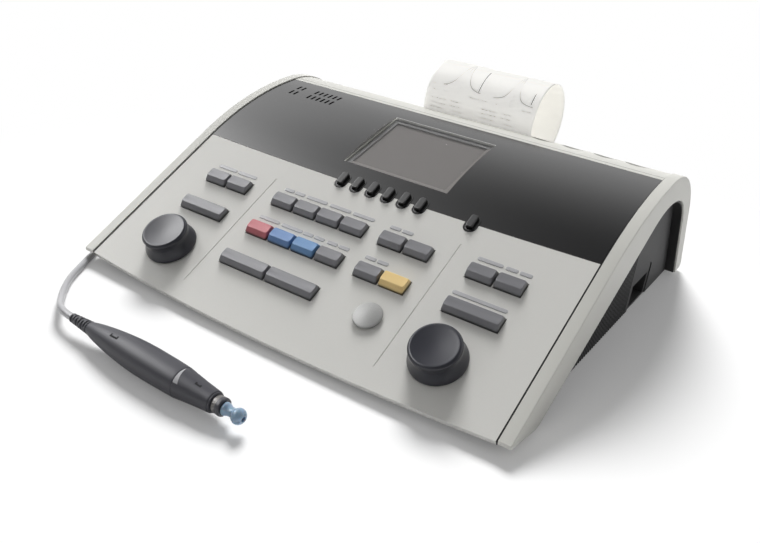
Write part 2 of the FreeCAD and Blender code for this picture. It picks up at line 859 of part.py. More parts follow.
def base_tray():
    """Bottom, side walls, low front wall and rear wall, with vents, a side bay and bosses."""
    body = new_body("base_tray")
    start, crown_start, crown_end = on_case(D.skin)
    rear_foot = leg_line(D.rear_inset, D.ground_gap)
    front_top = (D.tray_front, D.edge_height + D.tray_front * tan(D.slope) - D.skin / cos(D.slope))
    sketch = sketch_on(body, "YZ_Plane", "Side")
    outline(sketch, (D.tray_front + 5, D.ground_gap), front_top,
            start + (D.window_radius - D.skin, -1), crown_start + (D.crown_inner, -1),
            crown_end, rear_foot)
    shell = pad(body, sketch, "Block", D.rail_inner * 2, both=True)

    floor = D.ground_gap + D.tray_floor
    inner_rear = D.rear_inset + D.tray_wall
    hollow = sketch_on(body, "YZ_Plane", "Hollow")
    inner_front = D.tray_front + D.tray_wall + 2
    far = D.leg_rear + 60
    roof = D.arch_high * 2
    outline(hollow, (inner_front, floor), leg_line(inner_rear, floor),
            leg_line(inner_rear, D.rear_wall_height), (far, D.rear_wall_height), (far, roof),
            (-far / 4, roof), (-far / 4, D.tray_lip_height), (inner_front, D.tray_lip_height))
    pocket(body, hollow, "Inside", (D.rail_inner - D.tray_wall) * 2, both=True)

    # side bay: a closed pocket for leads in the right-hand wall
    bay_low = D.ground_gap + D.bay_frame
    bay_block = sketch_on(body, "YZ_Plane", "BayBlock", D.rail_inner - D.bay_depth - D.tray_wall)
    rectangle(bay_block, D.bay_start - D.tray_wall, D.ground_gap,
              D.bay_start + D.bay_length + D.tray_wall, bay_low + D.bay_height + D.tray_wall)
    pad(body, bay_block, "BayWalls", D.bay_depth + D.tray_wall)
    bay = sketch_on(body, "YZ_Plane", "Bay", D.rail_inner)
    rectangle(bay, D.bay_start, bay_low, D.bay_start + D.bay_length, bay_low + D.bay_height)
    pocket(body, bay, "BayHollow", D.bay_depth)

    # shallow step round the side bay
    step = sketch_on(body, "YZ_Plane", "BayStep", D.rail_inner)
    right, top, bend = D.recess_start + D.recess_length, D.recess_height, as_size(6)
    outline(step, (D.recess_start, as_size(0)), (right, as_size(0)), (right, top - bend, bend, 1),
            (right - bend, top), (D.recess_start + bend, top, bend, 1), (D.recess_start, top - bend))
    pocket(body, step, "BayRecess", D.recess_depth)

    # upright ribs of the side vents, on both sides: grooves that climb with the arch
    climb = tan(D.arch_slope)
    arch_line = D.ground_gap + (D.rib_start - D.keel_back) * climb
    sink = D.rib_pitch * D.rib_count * climb
    for side, name in ((1, "Right"), (-1, "Left")):
        plane = D.rail_inner if side > 0 else -D.rail_inner
        rib = sketch_on(body, "YZ_Plane", "Rib" + name, plane)
        rectangle(rib, D.rib_start, -sink, D.rib_start + D.rib_groove, arch_line)
        way = rib.addGeometry(Part.LineSegment(
            FreeCAD.Vector(0, 0, 0), FreeCAD.Vector(100, climb.value * 100, 0)), True)
        rib.addConstraint(Sketcher.Constraint("Coincident", way, 1, -1, 1))
        pin_point(rib, way, 2, 100, climb * 100)
        groove = pocket(body, rib, "RibGroove" + name, D.rib_depth, down=side > 0)
        ribs = row_of(body, groove, "Ribs" + name, D.rib_pitch / cos(D.arch_slope), D.rib_count)
        ribs.Direction = (rib, ["Axis0"])

    # bosses that carry the main board, and the screw holes through them
    bosses = sketch_on(body, "XY_Plane", "Bosses", D.ground_gap)
    for x, y in board_screws():
        circle(bosses, x, y, D.boss_radius)
    pad(body, bosses, "BossPads", D.tray_floor + D.boss_height)
    holes = sketch_on(body, "XY_Plane", "ScrewHoles", 0)
    for x, y in board_screws():
        circle(holes, x, y, D.screw_radius + 0.1)
    pocket(body, holes, "ScrewBores", 60, down=False)
    heads = sketch_on(body, "XY_Plane", "ScrewHeads", 0)
    for x, y in board_screws():
        circle(heads, x, y, D.screw_head + 0.2)
    pocket(body, heads, "Counterbores", D.ground_gap + D.screw_head_height + 0.3, down=False)

    # rear wall openings, drawn on the wall's own plane
    face = leg_line(D.rear_inset, D.ground_gap)
    ports = tilted_sketch(body, "RearPorts", face[0], face[1], D.leg_lean - 90)
    for x in jack_columns():
        circle(ports, x, -D.jack_height, D.jack_radius + 0.1)
    circle(ports, D.probe_socket_column, -D.jack_height, D.plug_radius - 1)
    centred(ports, D.inlet_column, -D.jack_height, D.inlet_width, D.inlet_height)
    frame = (D.rocker_play + D.rocker_wall + 0.1) * 2
    centred(ports, D.rocker_column, -D.jack_height, D.rocker_width + frame, D.rocker_length + frame)
    pocket(body, ports, "RearOpenings", D.tray_wall * 2)
    return keep(body)


def board_screws():
    """Places of the main board's screws, (x, y) from the panel's front edge."""
    left, right = D.main_left + D.screw_inset - D.half_width, D.half_width - D.main_right - D.screw_inset
    front, back = D.main_front + D.screw_inset, D.main_back - D.screw_inset
    return [(left, front), (right, front), (left, back), (right, back)]


def jack_columns():
    return [D.jack_first + D.jack_pitch * i for i in range(int(round(D.jack_count.value)))]


def rubber_feet():
    feet = []
    side = D.half_width - D.foot_side
    places = [(x, y) for y in (D.foot_front, D.leg_rear - D.foot_back) for x in (-side, side)]
    for index, (x, y) in enumerate(places):
        feet.append(rod("foot_%d" % index, x, y, 0, D.foot_radius, D.ground_gap))
    return keep(group("rubber_feet", *feet))


def case_screws():
    """Four pan-head screws up through the tray into the main board."""
    screws = []
    for index, (x, y) in enumerate(board_screws()):
        seat = D.ground_gap + D.screw_head_height + 0.3
        head = rod("head_%d" % index, x, y, seat - D.screw_head_height, D.screw_head, D.screw_head_height)
        shank = rod("shank_%d" % index, x, y, seat - 0.01, D.screw_radius, board_level() + 3 - seat)
        screws.append(fuse("screw_%d" % index, head, shank))
    return keep(group("case_screws", *screws))


def board_level():
    """Underside of the main board."""
    return D.ground_gap + D.tray_floor + D.boss_height


# ---------------------------------------------------------------- control panel and window

def key_places():
    """Every oblong key: name, x, s, width."""
    p, w = D.key_pitch, D.key_width
    wide = p + w
    places = []
    for name, column, row in (
            ("key_left_1", D.left_column, D.row_top), ("key_left_2", D.left_column + p, D.row_top),
            ("key_upper_1", D.mid_column, D.row_top), ("key_upper_2", D.mid_column + p, D.row_top),
            ("key_upper_3", D.mid_column + p * 2, D.row_top),
            ("key_upper_4", D.mid_column + p * 3, D.row_top),
            ("key_red", D.mid_column, D.row_mid), ("key_blue", D.mid_column + p, D.row_mid),
            ("key_light_blue", D.mid_column + p * 2, D.row_mid),
            ("key_middle_4", D.mid_column + p * 3, D.row_mid),
            ("key_inner_1", D.inner_column, D.row_top), ("key_inner_2", D.inner_column + p, D.row_top),
            ("key_inner_3", D.inner_column, D.row_mid), ("key_yellow", D.inner_column + p, D.row_mid),
            ("key_right_1", D.right_column, D.row_top),
            ("key_right_2", D.right_column + p, D.row_top)):
        places.append((name, column, row, w))
    for name, column, row in (
            ("bar_left", D.left_column, D.row_mid), ("bar_right", D.right_column, D.row_mid),
            ("bar_middle_1", D.mid_column, D.row_low), ("bar_middle_2", D.mid_column + p * 2, D.row_low)):
        places.append((name, column + p / 2, row, wide))
    return places


def soft_places():
    """The seven soft keys under the screen: name, x."""
    places = [("soft_key_%d" % (i + 1), D.soft_first + D.soft_pitch * i) for i in range(6)]
    places.append(("soft_key_7", D.soft_single))
    return places


def pillar_places():
    """Pillars that hold the keypad board under the panel."""
    side = D.half_width - D.pillar_side
    rows = (D.board_start + D.pillar_front, D.board_end - D.pillar_back)
    return [(x, s) for x in (-side, as_size(0), side) for s in rows]


def control_panel():
    body = deck_body("control_panel")
    sketch = sketch_on(body, "XY_Plane", "Face")
    top = D.panel_run - D.part_gap
    outline(sketch,
            (-D.half_width, as_size(0), D.front_radius, 1), (D.half_width, as_size(0)),
            (D.half_width, top, D.seam_radius, -1), (-D.half_width, top))
    pad(body, sketch, "Plate", D.skin, down=True)

    lip = sketch_on(body, "XY_Plane", "Lip", -D.skin + 0.01)
    inner = D.front_radius - D.lip_wall
    outline(lip,
            (-D.half_width, as_size(0), D.front_radius, 1), (D.half_width, as_size(0)),
            (D.half_width, D.lip_wall, D.front_radius, -1), (-D.half_width, D.lip_wall))
    pad(body, lip, "FrontLip", D.lip_drop, down=True)

    pillars = sketch_on(body, "XY_Plane", "Pillars", -D.skin + 0.01)
    for x, s in pillar_places():
        circle(pillars, x, s, D.pillar_radius)
    pad(body, pillars, "BoardPillars", D.board_drop - D.skin + 0.01, down=True)

    keys = sketch_on(body, "XY_Plane", "KeyHoles")
    for _, x, s, width in key_places():
        centred(keys, x, s, width + D.key_play * 2, D.key_depth + D.key_play * 2)
    circle(keys, D.dome_column, D.row_low, D.dome_radius - 1)
    for column in (D.knob_left, D.knob_right):
        circle(keys, column, D.knob_row, D.bush_radius + 0.2)
    pocket(body, keys, "KeyOpenings", D.skin + 1)

    rims = sketch_on(body, "XY_Plane", "SoftKeyBays")
    width = D.soft_width + D.soft_rim * 2 + D.part_gap * 2
    length = D.soft_length + D.soft_rim * 2 + D.part_gap * 2
    for _, x in soft_places():
        oval(rims, x, D.soft_row, width, length)
    pocket(body, rims, "SoftKeyNotches", D.skin + 1)

    grooves = sketch_on(body, "XY_Plane", "Grooves")
    for x in (D.groove_left, D.groove_right):
        rectangle(grooves, x - D.groove_width / 2, D.groove_start, x + D.groove_width / 2, D.groove_end)
    pocket(body, grooves, "Dividers", D.groove_depth)
    return keep(body)


def display_window():
    """Curved dark window, with rims round the soft keys, the screen opening and speaker slots."""
    body = deck_body("display_window")
    centre = (D.panel_run, -D.window_radius)
    bow = D.window_radius
    side = sketch_on(body, "YZ_Plane", "Side")
    start = D.panel_run - D.window_bow - 1
    outline(side, (start, as_size(0)), (D.panel_run, as_size(0), bow, -1),
            on_bow(as_size(0), D.window_turn), on_bow(D.skin, D.window_turn) + (bow - D.skin, 1),
            (D.panel_run, -D.skin), (start, -D.skin))
    pad(body, side, "Curve", D.full_width, both=True)
    front = sketch_on(body, "XY_Plane", "FrontTrim", D.skin)
    low = D.panel_run - D.window_bow * 4
    edge = D.half_width + 1
    outline(front, (-edge, low), (edge, low), (edge, D.panel_run, D.seam_radius, -1),
            (-edge, D.panel_run))
    pocket(body, front, "BowedEdge", D.skin * 3)

    rims = sketch_on(body, "XY_Plane", "SoftKeyRims", -D.skin)
    for _, x in soft_places():
        oval(rims, x, D.soft_row, D.soft_width + D.soft_rim * 2, D.soft_length + D.soft_rim * 2)
    pad(body, rims, "Rims", D.skin + D.soft_rim_proud)
    wells = sketch_on(body, "XY_Plane", "SoftKeyWells", D.skin)
    for _, x in soft_places():
        oval(wells, x, D.soft_row, D.soft_width + D.key_play * 2, D.soft_length + D.key_play * 2)
    pocket(body, wells, "Wells", D.skin * 3)

    hole = sketch_on(body, "YZ_Plane", "ScreenOpening")
    sector(hole, centre, bow - D.skin - 1, bow + 1, D.screen_start, D.screen_end)
    pocket(body, hole, "Screen", D.screen_half * 2, both=True)
    second = D.slot_first + D.slot_pitch * (D.slot_short_count + D.slot_skip)
    for name, angle, start, count in (
            ("LowShort", D.slot_low, D.slot_first, D.slot_short_count),
            ("LowLong", D.slot_low, second, D.slot_long_count),
            ("HighShort", D.slot_high, D.slot_first, D.slot_short_count),
            ("HighLong", D.slot_high, second, D.slot_long_count)):
        slot = sketch_on(body, "YZ_Plane", "Slot" + name, start)
        sector(slot, centre, bow - D.skin - 1, bow + 1, angle - D.slot_angle / 2,
               angle + D.slot_angle / 2)
        first = pocket(body, slot, "SpeakerSlot" + name, D.slot_width, both=True)
        row_of(body, first, "Slots" + name, D.slot_pitch, count)
    return keep(body)


def pane_angles():
    """Ends of the pane and of its seat, with their play in the screen opening."""
    play = D.lens_play / D.window_radius * (180 / math.pi)
    return D.screen_start + play, D.screen_end - play


def behind_pane(along, out):
    """Deck place (s, n) in the pane's own frame: along it from its middle, and out of its seat."""
    middle, half = (D.screen_start + D.screen_end) / 2, (D.screen_end - D.screen_start) / 2
    reach = (D.window_radius - D.lens_sink - D.lens_thick) * cos(half) + out
    return (D.panel_run + sin(middle) * reach + cos(middle) * along,
            cos(middle) * reach - sin(middle) * along - D.window_radius)


def screen_lens():
    """Flat clear pane set into the curved window's opening."""
    body = deck_body("screen_lens")
    low, high = pane_angles()
    face = sketch_on(body, "YZ_Plane", "Face")
    outline(face, on_bow(D.lens_sink, low), on_bow(D.lens_sink, high),
            on_bow(D.lens_sink + D.lens_thick, high), on_bow(D.lens_sink + D.lens_thick, low))
    pad(body, face, "Pane", (D.screen_half - D.lens_play) * 2, both=True)
    return keep(body)


def lcd_module():
    """Display under the window: a frame with a raised seat for the pane, a sunk field and a hollow back."""
    body = deck_body("lcd_module")
    bow = D.window_radius
    margin = D.lcd_margin / D.window_radius * (180 / math.pi)
    low, high = D.screen_start - margin, D.screen_end + margin
    middle, half = (D.screen_start + D.screen_end) / 2, (D.screen_end - D.screen_start) / 2
    down = (-sin(middle), -cos(middle))
    a, b = on_bow(D.skin, low), on_bow(D.skin, high)
    side = sketch_on(body, "YZ_Plane", "Side")
    outline(side, a + (bow - D.skin, -1), b, plus(b, times(down, D.lcd_depth)),
            plus(a, times(down, D.lcd_depth)))
    pad(body, side, "Frame", (D.screen_half + D.lcd_margin) * 2, both=True)

    seat = D.lens_sink + D.lens_thick
    reach = (bow - seat) * sin(half)
    room = sketch_on(body, "YZ_Plane", "Room")
    outline(room, behind_pane(-reach, as_size(0)), behind_pane(reach, as_size(0)),
            behind_pane(reach, as_size(4)), behind_pane(-reach, as_size(4)))
    pocket(body, room, "PaneRoom", D.screen_half * 2, both=True)

    first, last = pane_angles()
    riser = sketch_on(body, "YZ_Plane", "Seat")
    outline(riser, on_bow(seat, first), on_bow(seat, last),
            on_bow(D.skin + 3, last), on_bow(D.skin + 3, first))
    pad(body, riser, "PaneSeat", (D.screen_half - D.lens_play) * 2, both=True)

    field = reach - D.lcd_border
    view = sketch_on(body, "YZ_Plane", "Field")
    outline(view, behind_pane(-field, -D.lcd_sink), behind_pane(field, -D.lcd_sink),
            behind_pane(field, as_size(4)), behind_pane(-field, as_size(4)))
    pocket(body, view, "SunkField", (D.screen_half - D.lcd_border) * 2, both=True)

    roof, deep = -D.lcd_sink - D.lcd_plate, -D.lcd_depth * 2
    back = sketch_on(body, "YZ_Plane", "Back")
    outline(back, behind_pane(-reach, roof), behind_pane(reach, roof),
            behind_pane(reach, deep), behind_pane(-reach, deep))
    pocket(body, back, "HollowBack", (D.screen_half + D.lcd_margin - D.lcd_wall) * 2, both=True)
    return keep(body)


# ---------------------------------------------------------------- keys

def key(label, x, s, width):
    """Oblong key: skirt, bevelled cap and guide stems."""
    body = deck_body(label, x, s)
    skirt = sketch_on(body, "XY_Plane", "Skirt", -D.key_root)
    centred(skirt, 0, 0, width, D.key_depth)
    block = pad(body, skirt, "Block", D.key_root + D.key_skirt)

    def upright(b):
        return b.ZLength > 1 and b.XLength < 0.01 and b.YLength < 0.01

    rounded = soften(body, block, "Corners", D.key_corner, upright)
    base = sketch_on(body, "XY_Plane", "CapFoot", D.key_skirt)
    inset = (D.key_width - D.key_top_width) / 2
    centred(base, 0, 0, width - 0.5, D.key_depth - 0.5)
    top = sketch_on(body, "XY_Plane", "CapTop", D.key_height)
    centred(top, 0, D.key_top_shift, width - inset * 2, D.key_top_depth)
    cap = body.newObject("PartDesign::AdditiveLoft", "Cap")
    cap.Profile = base
    cap.Sections = [top]
    cap.Ruled = True
    stems = sketch_on(body, "XY_Plane", "Stems", -D.key_root + 0.01)
    for place_x in stem_columns(width):
        circle(stems, place_x, 0, D.stem_radius)
    pad(body, stems, "Guides", D.stem_length, down=True)
    return keep(body)


def stem_columns(width):
    """A wide bar has a stem near each end; a single key has one."""
    if as_size(width).value < D.key_width.value * 1.5:
        return [as_size(0)]
    return [-D.key_pitch / 2, D.key_pitch / 2]


def soft_key(label, x):
    body = deck_body(label, x, D.soft_row)
    sketch = sketch_on(body, "XY_Plane", "Face", -D.key_root)
    oval(sketch, 0, 0, D.soft_width, D.soft_length)
    block = pad(body, sketch, "Block", D.key_root + D.soft_height)
    crest = D.soft_height.value

    def top(b):
        return abs(b.ZMin - crest) < 0.01 and b.ZLength < 0.01

    soften(body, block, "TopRounding", 0.9, top)
    stems = sketch_on(body, "XY_Plane", "Stems", -D.key_root + 0.01)
    circle(stems, 0, 0, D.stem_radius)
    pad(body, stems, "Guides", D.stem_length, down=True)
    return keep(body)


def dome_key():
    """Round mushroom key: the crown overhangs its opening."""
    body = deck_body("dome_key", D.dome_column, D.row_low)
    r = D.dome_radius
    lift = D.key_travel + 0.3
    sketch = sketch_on(body, "XZ_Plane", "Profile")
    rise = D.dome_crown - D.dome_rim
    ball = (r * r + rise * rise) / (rise * 2)
    neck = r - 1 - D.key_play
    outline(sketch, (as_size(0), -D.key_root - D.stem_length), (D.stem_radius, -D.key_root - D.stem_length),
            (D.stem_radius, -D.key_root), (neck, -D.key_root), (neck, lift), (r, lift),
            (r, lift + D.dome_rim, ball, 1), (as_size(0), lift + D.dome_crown))
    revolve(body, sketch, "Dome", "V_Axis")
    return keep(body)


def knob(label):
    """Waisted knob with a dished top, pressed on its spindle."""
    body = deck_body(label, getattr(D, label), D.knob_row)
    top = D.knob_height
    dish = D.knob_dish
    rim = D.knob_top_radius - D.knob_shoulder
    hollow = (rim * rim + dish * dish) / (dish * 2)
    low = -D.board_drop + 2
    sketch = sketch_on(body, "XZ_Plane", "Profile")
    outline(sketch,
            (as_size(0), low), (D.spindle_radius, low), (D.spindle_radius, D.knob_lift),
            (D.knob_skirt_radius - 1, D.knob_lift), (D.knob_skirt_radius, D.knob_lift + 1.4),
            (D.knob_skirt_radius - 0.4, D.knob_lift + 3.4), (D.knob_waist_radius, top * 0.62),
            (D.knob_top_radius - 0.2, top - 3.4), (D.knob_top_radius, top - 2.4),
            (D.knob_top_radius - 0.6, top - 0.8), (rim, top, hollow, -1), (as_size(0), top - dish))
    revolve(body, sketch, "Knob", "V_Axis")
    return keep(body)


def keypad_board():
    """Board under the panel with a guide housing for every stem and a bush for each knob."""
    top = D.board_top
    face = D.board_thick
    board = box("board_plate", -D.board_half, D.board_start, top - face, D.board_half, D.board_end,
                top, raw=True)
    posts, bores = [], []
    bore = D.stem_radius + D.stem_play
    half = D.switch_side / 2
    stems = [(x + dx, s) for _, x, s, width in key_places() for dx in stem_columns(width)]
    stems += [(x, D.soft_row) for _, x in soft_places()] + [(D.dome_column, D.row_low)]
    for index, (x, s) in enumerate(stems):
        posts.append(box("housing_%d" % index, x - half, s - half, top - 0.01, x + half, s + half,
                         top + D.switch_height, raw=True))
        bores.append(rod("guide_%d" % index, x, s, top + 0.3, bore, D.switch_height, raw=True))
    s = D.knob_row
    for side, x in (("left", D.knob_left), ("right", D.knob_right)):
        posts.append(box("encoder_" + side, x - 7, s - 7, top - 0.01, x + 7, s + 7, top + 7, raw=True))
        posts.append(rod("bush_" + side, x, s, top + 6, D.bush_radius, D.board_drop - 6, raw=True))
        bores.append(rod("bearing_" + side, x, s, top + 1.5, D.spindle_radius + D.spindle_play,
                         D.board_drop, raw=True))
    whole = cut("keypad_board", fuse("board_solid", board, *posts), *bores)
    return keep(seat_on_deck(whole))


# ---------------------------------------------------------------- rear cover, lid and printer

def rear_cover():
    """White cover behind the window, with the lid's opening, its bearings and four dishes."""
    body = new_body("rear_cover")
    _, start_out, crown_out = on_case(as_size(0))
    _, start_in, crown_in = on_case(D.skin)
    gap = D.part_gap
    tail_out = leg_line(D.rail_proud, D.cover_low)
    tail_in = leg_line(D.rail_proud + D.skin, D.cover_low)
    bow = D.window_radius
    front = D.slope - D.window_turn - gap / bow * (180 / math.pi)
    front_way = (-sin(front), cos(front))
    sketch = sketch_on(body, "YZ_Plane", "Side")
    outline(sketch,
            plus(bow_centre, times(front_way, bow)) + (bow, -1), start_out + (D.crown_case, -1),
            crown_out, tail_out, tail_in, crown_in + (D.crown_inner, 1),
            start_in + (bow - D.skin, 1), plus(bow_centre, times(front_way, bow - D.skin)))
    pad(body, sketch, "Curve", D.full_width, both=True)

    bar = sketch_on(body, "YZ_Plane", "DishBar", D.lid_centre + D.lid_width / 2 + 2)
    sector(bar, crown, D.crown_inner - D.dish_depth, D.crown_inner + 0.5,
           D.dish_angle - D.dish_spread, D.dish_angle + D.dish_spread)
    pad(body, bar, "DishBlock", D.half_width - D.lid_centre - D.lid_width / 2 - 8)
    sunk = D.crown_case + D.dish_ball - D.dish_depth
    centre = on_crown(sunk, D.dish_angle)
    ball = body.newObject("PartDesign::SubtractiveSphere", "Dish")
    ball.AttachmentSupport = (origin_plane(body, "XY_Plane"), [""])
    ball.MapMode = "FlatFace"
    bind(ball, "AttachmentOffset.Base.x", D.dish_first)
    bind(ball, "AttachmentOffset.Base.y", centre[0])
    bind(ball, "AttachmentOffset.Base.z", centre[1])
    bind(ball, "Radius", D.dish_ball)
    row_of(body, ball, "Dishes", D.dish_pitch, D.dish_count)

    play = (D.part_gap + 0.1) / D.crown_case * (180 / math.pi)
    for side, name in ((1, "Right"), (-1, "Left")):
        edge = D.lid_centre + (D.lid_width / 2 + gap) * side
        start = edge if side > 0 else edge - 6
        block = sketch_on(body, "YZ_Plane", "Bearing" + name, start)
        sector(block, crown, D.crown_inner - 4, D.crown_inner + 1, D.hinge_angle - 4, D.hinge_angle + 2.5)
        pad(body, block, "BearingBlock" + name, 6)
    mouth = sketch_on(body, "YZ_Plane", "LidMouth", D.lid_centre)
    sector(mouth, crown, D.crown_inner - 8, D.crown_case + 2, D.lid_start - play,
           D.hinge_angle + D.hinge_room)
    pocket(body, mouth, "LidOpening", D.lid_width + gap * 2, both=True)
    pin = on_crown(D.crown_case - D.hinge_inset, D.hinge_angle)
    bore = sketch_on(body, "YZ_Plane", "PinBore", D.lid_centre)
    circle(bore, pin[0], pin[1], D.hinge_pin + D.hinge_play)
    pocket(body, bore, "PinHoles", D.lid_width + (D.hinge_reach + gap + 0.5) * 2, both=True)
    return keep(body)


def printer_lid():
    """Curved lid with the paper slot, hinge barrel, pivots and the platen's lugs."""
    body = new_body("printer_lid")
    outer, inner = D.crown_case, D.crown_inner
    plate = sketch_on(body, "YZ_Plane", "Plate", D.lid_centre)
    sector(plate, crown, inner, outer, D.lid_start, D.lid_end)
    pad(body, plate, "LidPlate", D.lid_width, both=True)
    web = sketch_on(body, "YZ_Plane", "Web", D.lid_centre)
    sector(web, crown, inner - 0.5, outer - 1, D.lid_end - 1, D.hinge_angle)
    pad(body, web, "HingeWeb", D.lid_width - 1, both=True)
    pin = on_crown(outer - D.hinge_inset, D.hinge_angle)
    barrel = sketch_on(body, "YZ_Plane", "Barrel", D.lid_centre)
    circle(barrel, pin[0], pin[1], D.hinge_barrel)
    pad(body, barrel, "HingeBarrel", D.lid_width - 1, both=True)
    pivot = sketch_on(body, "YZ_Plane", "Pivot", D.lid_centre)
    circle(pivot, pin[0], pin[1], D.hinge_pin)
    pad(body, pivot, "HingePins", D.lid_width + D.hinge_reach * 2, both=True)

    axis = platen_axis()
    for side, name in ((1, "Right"), (-1, "Left")):
        near = D.paper_width / 2 + 1.3
        start = near if side > 0 else -near - D.lug_thick
        lug = sketch_on(body, "YZ_Plane", "Lug" + name, start)
        low = axis[1] - D.platen_shaft - 3
        front, back = axis[0] - 5, axis[0] + 5
        top_front = crown[1] + root((inner + 1) * (inner + 1) - (front - crown[0]) * (front - crown[0]))
        top_back = crown[1] + root((inner + 1) * (inner + 1) - (back - crown[0]) * (back - crown[0]))
        outline(lug, (front, low), (back, low), (back, top_back), (front, top_front))
        pad(body, lug, "PlatenLug" + name, D.lug_thick)
    bore = sketch_on(body, "YZ_Plane", "ShaftBore")
    circle(bore, axis[0], axis[1], D.platen_shaft + 0.06)
    pocket(body, bore, "ShaftHoles", D.paper_width + 20, both=True)

    slot = sketch_on(body, "YZ_Plane", "PaperSlot")
    middle = paper_angle()
    sector(slot, crown, inner - 2, outer + 1, middle - D.slot_half_angle, middle + D.slot_half_angle)
    pocket(body, slot, "Slot", D.paper_width + 3, both=True)
    return keep(body)


def paper_angle():
    """Where the paper passes the lid, in degrees round the crown."""
    return arc_sine((D.paper_back - crown[0]) / D.crown_case)


def platen_axis():
    return (D.paper_back + D.paper_thick / 2 + D.print_gap + D.platen_radius, D.platen_height)


def platen_roller():
    axis = platen_axis()
    half = D.paper_width / 2
    tube = rod("platen_rubber", -half, axis[0], axis[1], D.platen_radius, half * 2, "x")
    reach = half + 1.3 + D.lug_thick - 0.2
    shaft = rod("platen_shaft", -reach, axis[0], axis[1], D.platen_shaft, reach * 2, "x")
    return keep(fuse("platen_roller", tube, shaft))


def printer_frame():
    """Frame screwed to the tray: base, two cheeks, the roll's spindle and the print bar."""
    floor = D.ground_gap + D.tray_floor
    half = D.printer_half
    front, back = D.roll_back - 26, D.roll_back + 22
    base = box("printer_base", -half, front, floor, half, back, floor + 3)
    cheeks = []
    for side in (-1, 1):
        x0 = half - D.cheek if side > 0 else -half
        cheeks.append(box("cheek_%d" % side, x0, D.roll_back - 10, floor + 1, x0 + D.cheek,
                          D.roll_back + 8, D.roll_height + 8))
        cheeks.append(box("arm_%d" % side, x0, D.roll_back - 10, D.roll_height,
                          x0 + D.cheek, D.paper_back - 1.5, D.platen_height + 5))
    inner = half - D.cheek
    spindle = rod("spindle", -inner - 0.01, D.roll_back, D.roll_height, D.roll_core - 0.08,
                  inner * 2 + 0.02, "x")
    bar = box("print_bar", -inner - 0.01, D.paper_back - 6, D.platen_height - 5, inner + 0.01,
              D.paper_back - D.paper_thick / 2 - D.print_gap, D.platen_height + 5)
    return keep(fuse("printer_frame", base, *(cheeks + [spindle, bar])))


def paper_roll():
    half = D.paper_width / 2
    roll = rod("roll_outer", -half, D.roll_back, D.roll_height, D.roll_radius, half * 2, "x")
    core = rod("roll_core_hole", -half - 1, D.roll_back, D.roll_height, D.roll_core, half * 2 + 2, "x")
    return keep(cut("paper_roll", roll, core))


def paper_strip():
    """Printed strip: straight up out of the slot, then curling back over the rear."""
    body = new_body("paper_strip")
    outer = D.curl_radius + D.paper_thick / 2
    inner = D.curl_radius - D.paper_thick / 2
    centre = (D.paper_back + D.curl_radius, D.curl_height)
    low = on_crown(D.crown_case - D.hinge_inset, D.hinge_angle)[1] + 1

    def spot(radius, angle):
        return (centre[0] + radius * cos(angle), centre[1] + radius * sin(angle))

    sketch = sketch_on(body, "YZ_Plane", "Side")
    top = as_size(90)
    outline(sketch, (centre[0] - outer, low), (centre[0] - outer, centre[1], outer, -1),
            spot(outer, top) + (outer, -1), spot(outer, -D.curl_end),
            spot(inner, -D.curl_end) + (inner, 1), spot(inner, top) + (inner, 1),
            (centre[0] - inner, centre[1]), (centre[0] - inner, low))
    pad(body, sketch, "Strip", D.paper_width, both=True)
    return keep(body)


# ---------------------------------------------------------------- electronics and drives

def main_board():
    """Main circuit board with its larger parts, laid out in grid units.

    A part whose first number is below zero is placed from the board's right edge.
    """
    low = board_level()
    top = low + D.board_thick
    left, right = D.main_left - D.half_width, D.half_width - D.main_right
    plate = box("main_plate", left, D.main_front, low, right, D.main_back, top)
    holes = [rod("main_hole_%d" % i, x, y, low - 1, D.screw_radius + 0.1, D.board_thick + 2)
             for i, (x, y) in enumerate(board_screws())]
    parts = []
    unit = D.chip_unit
    for index, (x, y, w, d, high) in enumerate((
            (15, 12, 12, 12, 1.5), (40, 9, 9, 9, 1.25), (60, 32, 15, 15, 1.5),
            (-45, 17, 7, 17, 6), (-24, 14, 14, 15, 11), (-24, 42, 19, 17, 15),
            (20, 42, 22, 6, 4), (65, 57, 30, 5, 4.5), (40, 50, 7, 7, 1.5))):
        x0, y0 = (right if x < 0 else left) + unit * x, D.main_front + unit * y
        parts.append(box("chip_%d" % index, x0, y0, top - 0.01, x0 + unit * w, y0 + unit * d,
                         top + unit * high))
    for index in range(3):
        parts.append(rod("capacitor_%d" % index, right - unit * (50 - 7 * index),
                         D.main_front + unit * (52 - 7 * index), top - 0.01, unit * 3, unit * 8))
    return keep(cut("main_board", fuse("main_solid", plate, *parts), *holes))


def air_pump():
    """Small pump with its motor, bracket and outlet, on the tray's floor."""
    floor = D.ground_gap + D.tray_floor
    foot = D.pump_foot
    left, front = D.pump_side - D.half_width, D.pump_back
    middle = front + D.pump_depth / 2 + foot
    head_end = left + D.pump_length + foot
    bracket = box("pump_bracket", left, front, floor, head_end + D.motor_length,
                  front + D.pump_depth + foot * 2, floor + foot)
    head = box("pump_head", left + foot, front + foot, floor + foot - 0.1, head_end,
               front + foot + D.pump_depth, floor + D.pump_height)
    motor = rod("pump_motor", head_end - 0.1, middle, floor + D.pump_height / 2, D.motor_radius,
                D.motor_length, "x")
    outlet = rod("pump_outlet", left + foot + D.pump_length / 2, middle, floor + D.pump_height - 0.1,
                 D.outlet_radius, D.outlet_radius * 3)
    return keep(fuse("air_pump", bracket, head, motor, outlet))


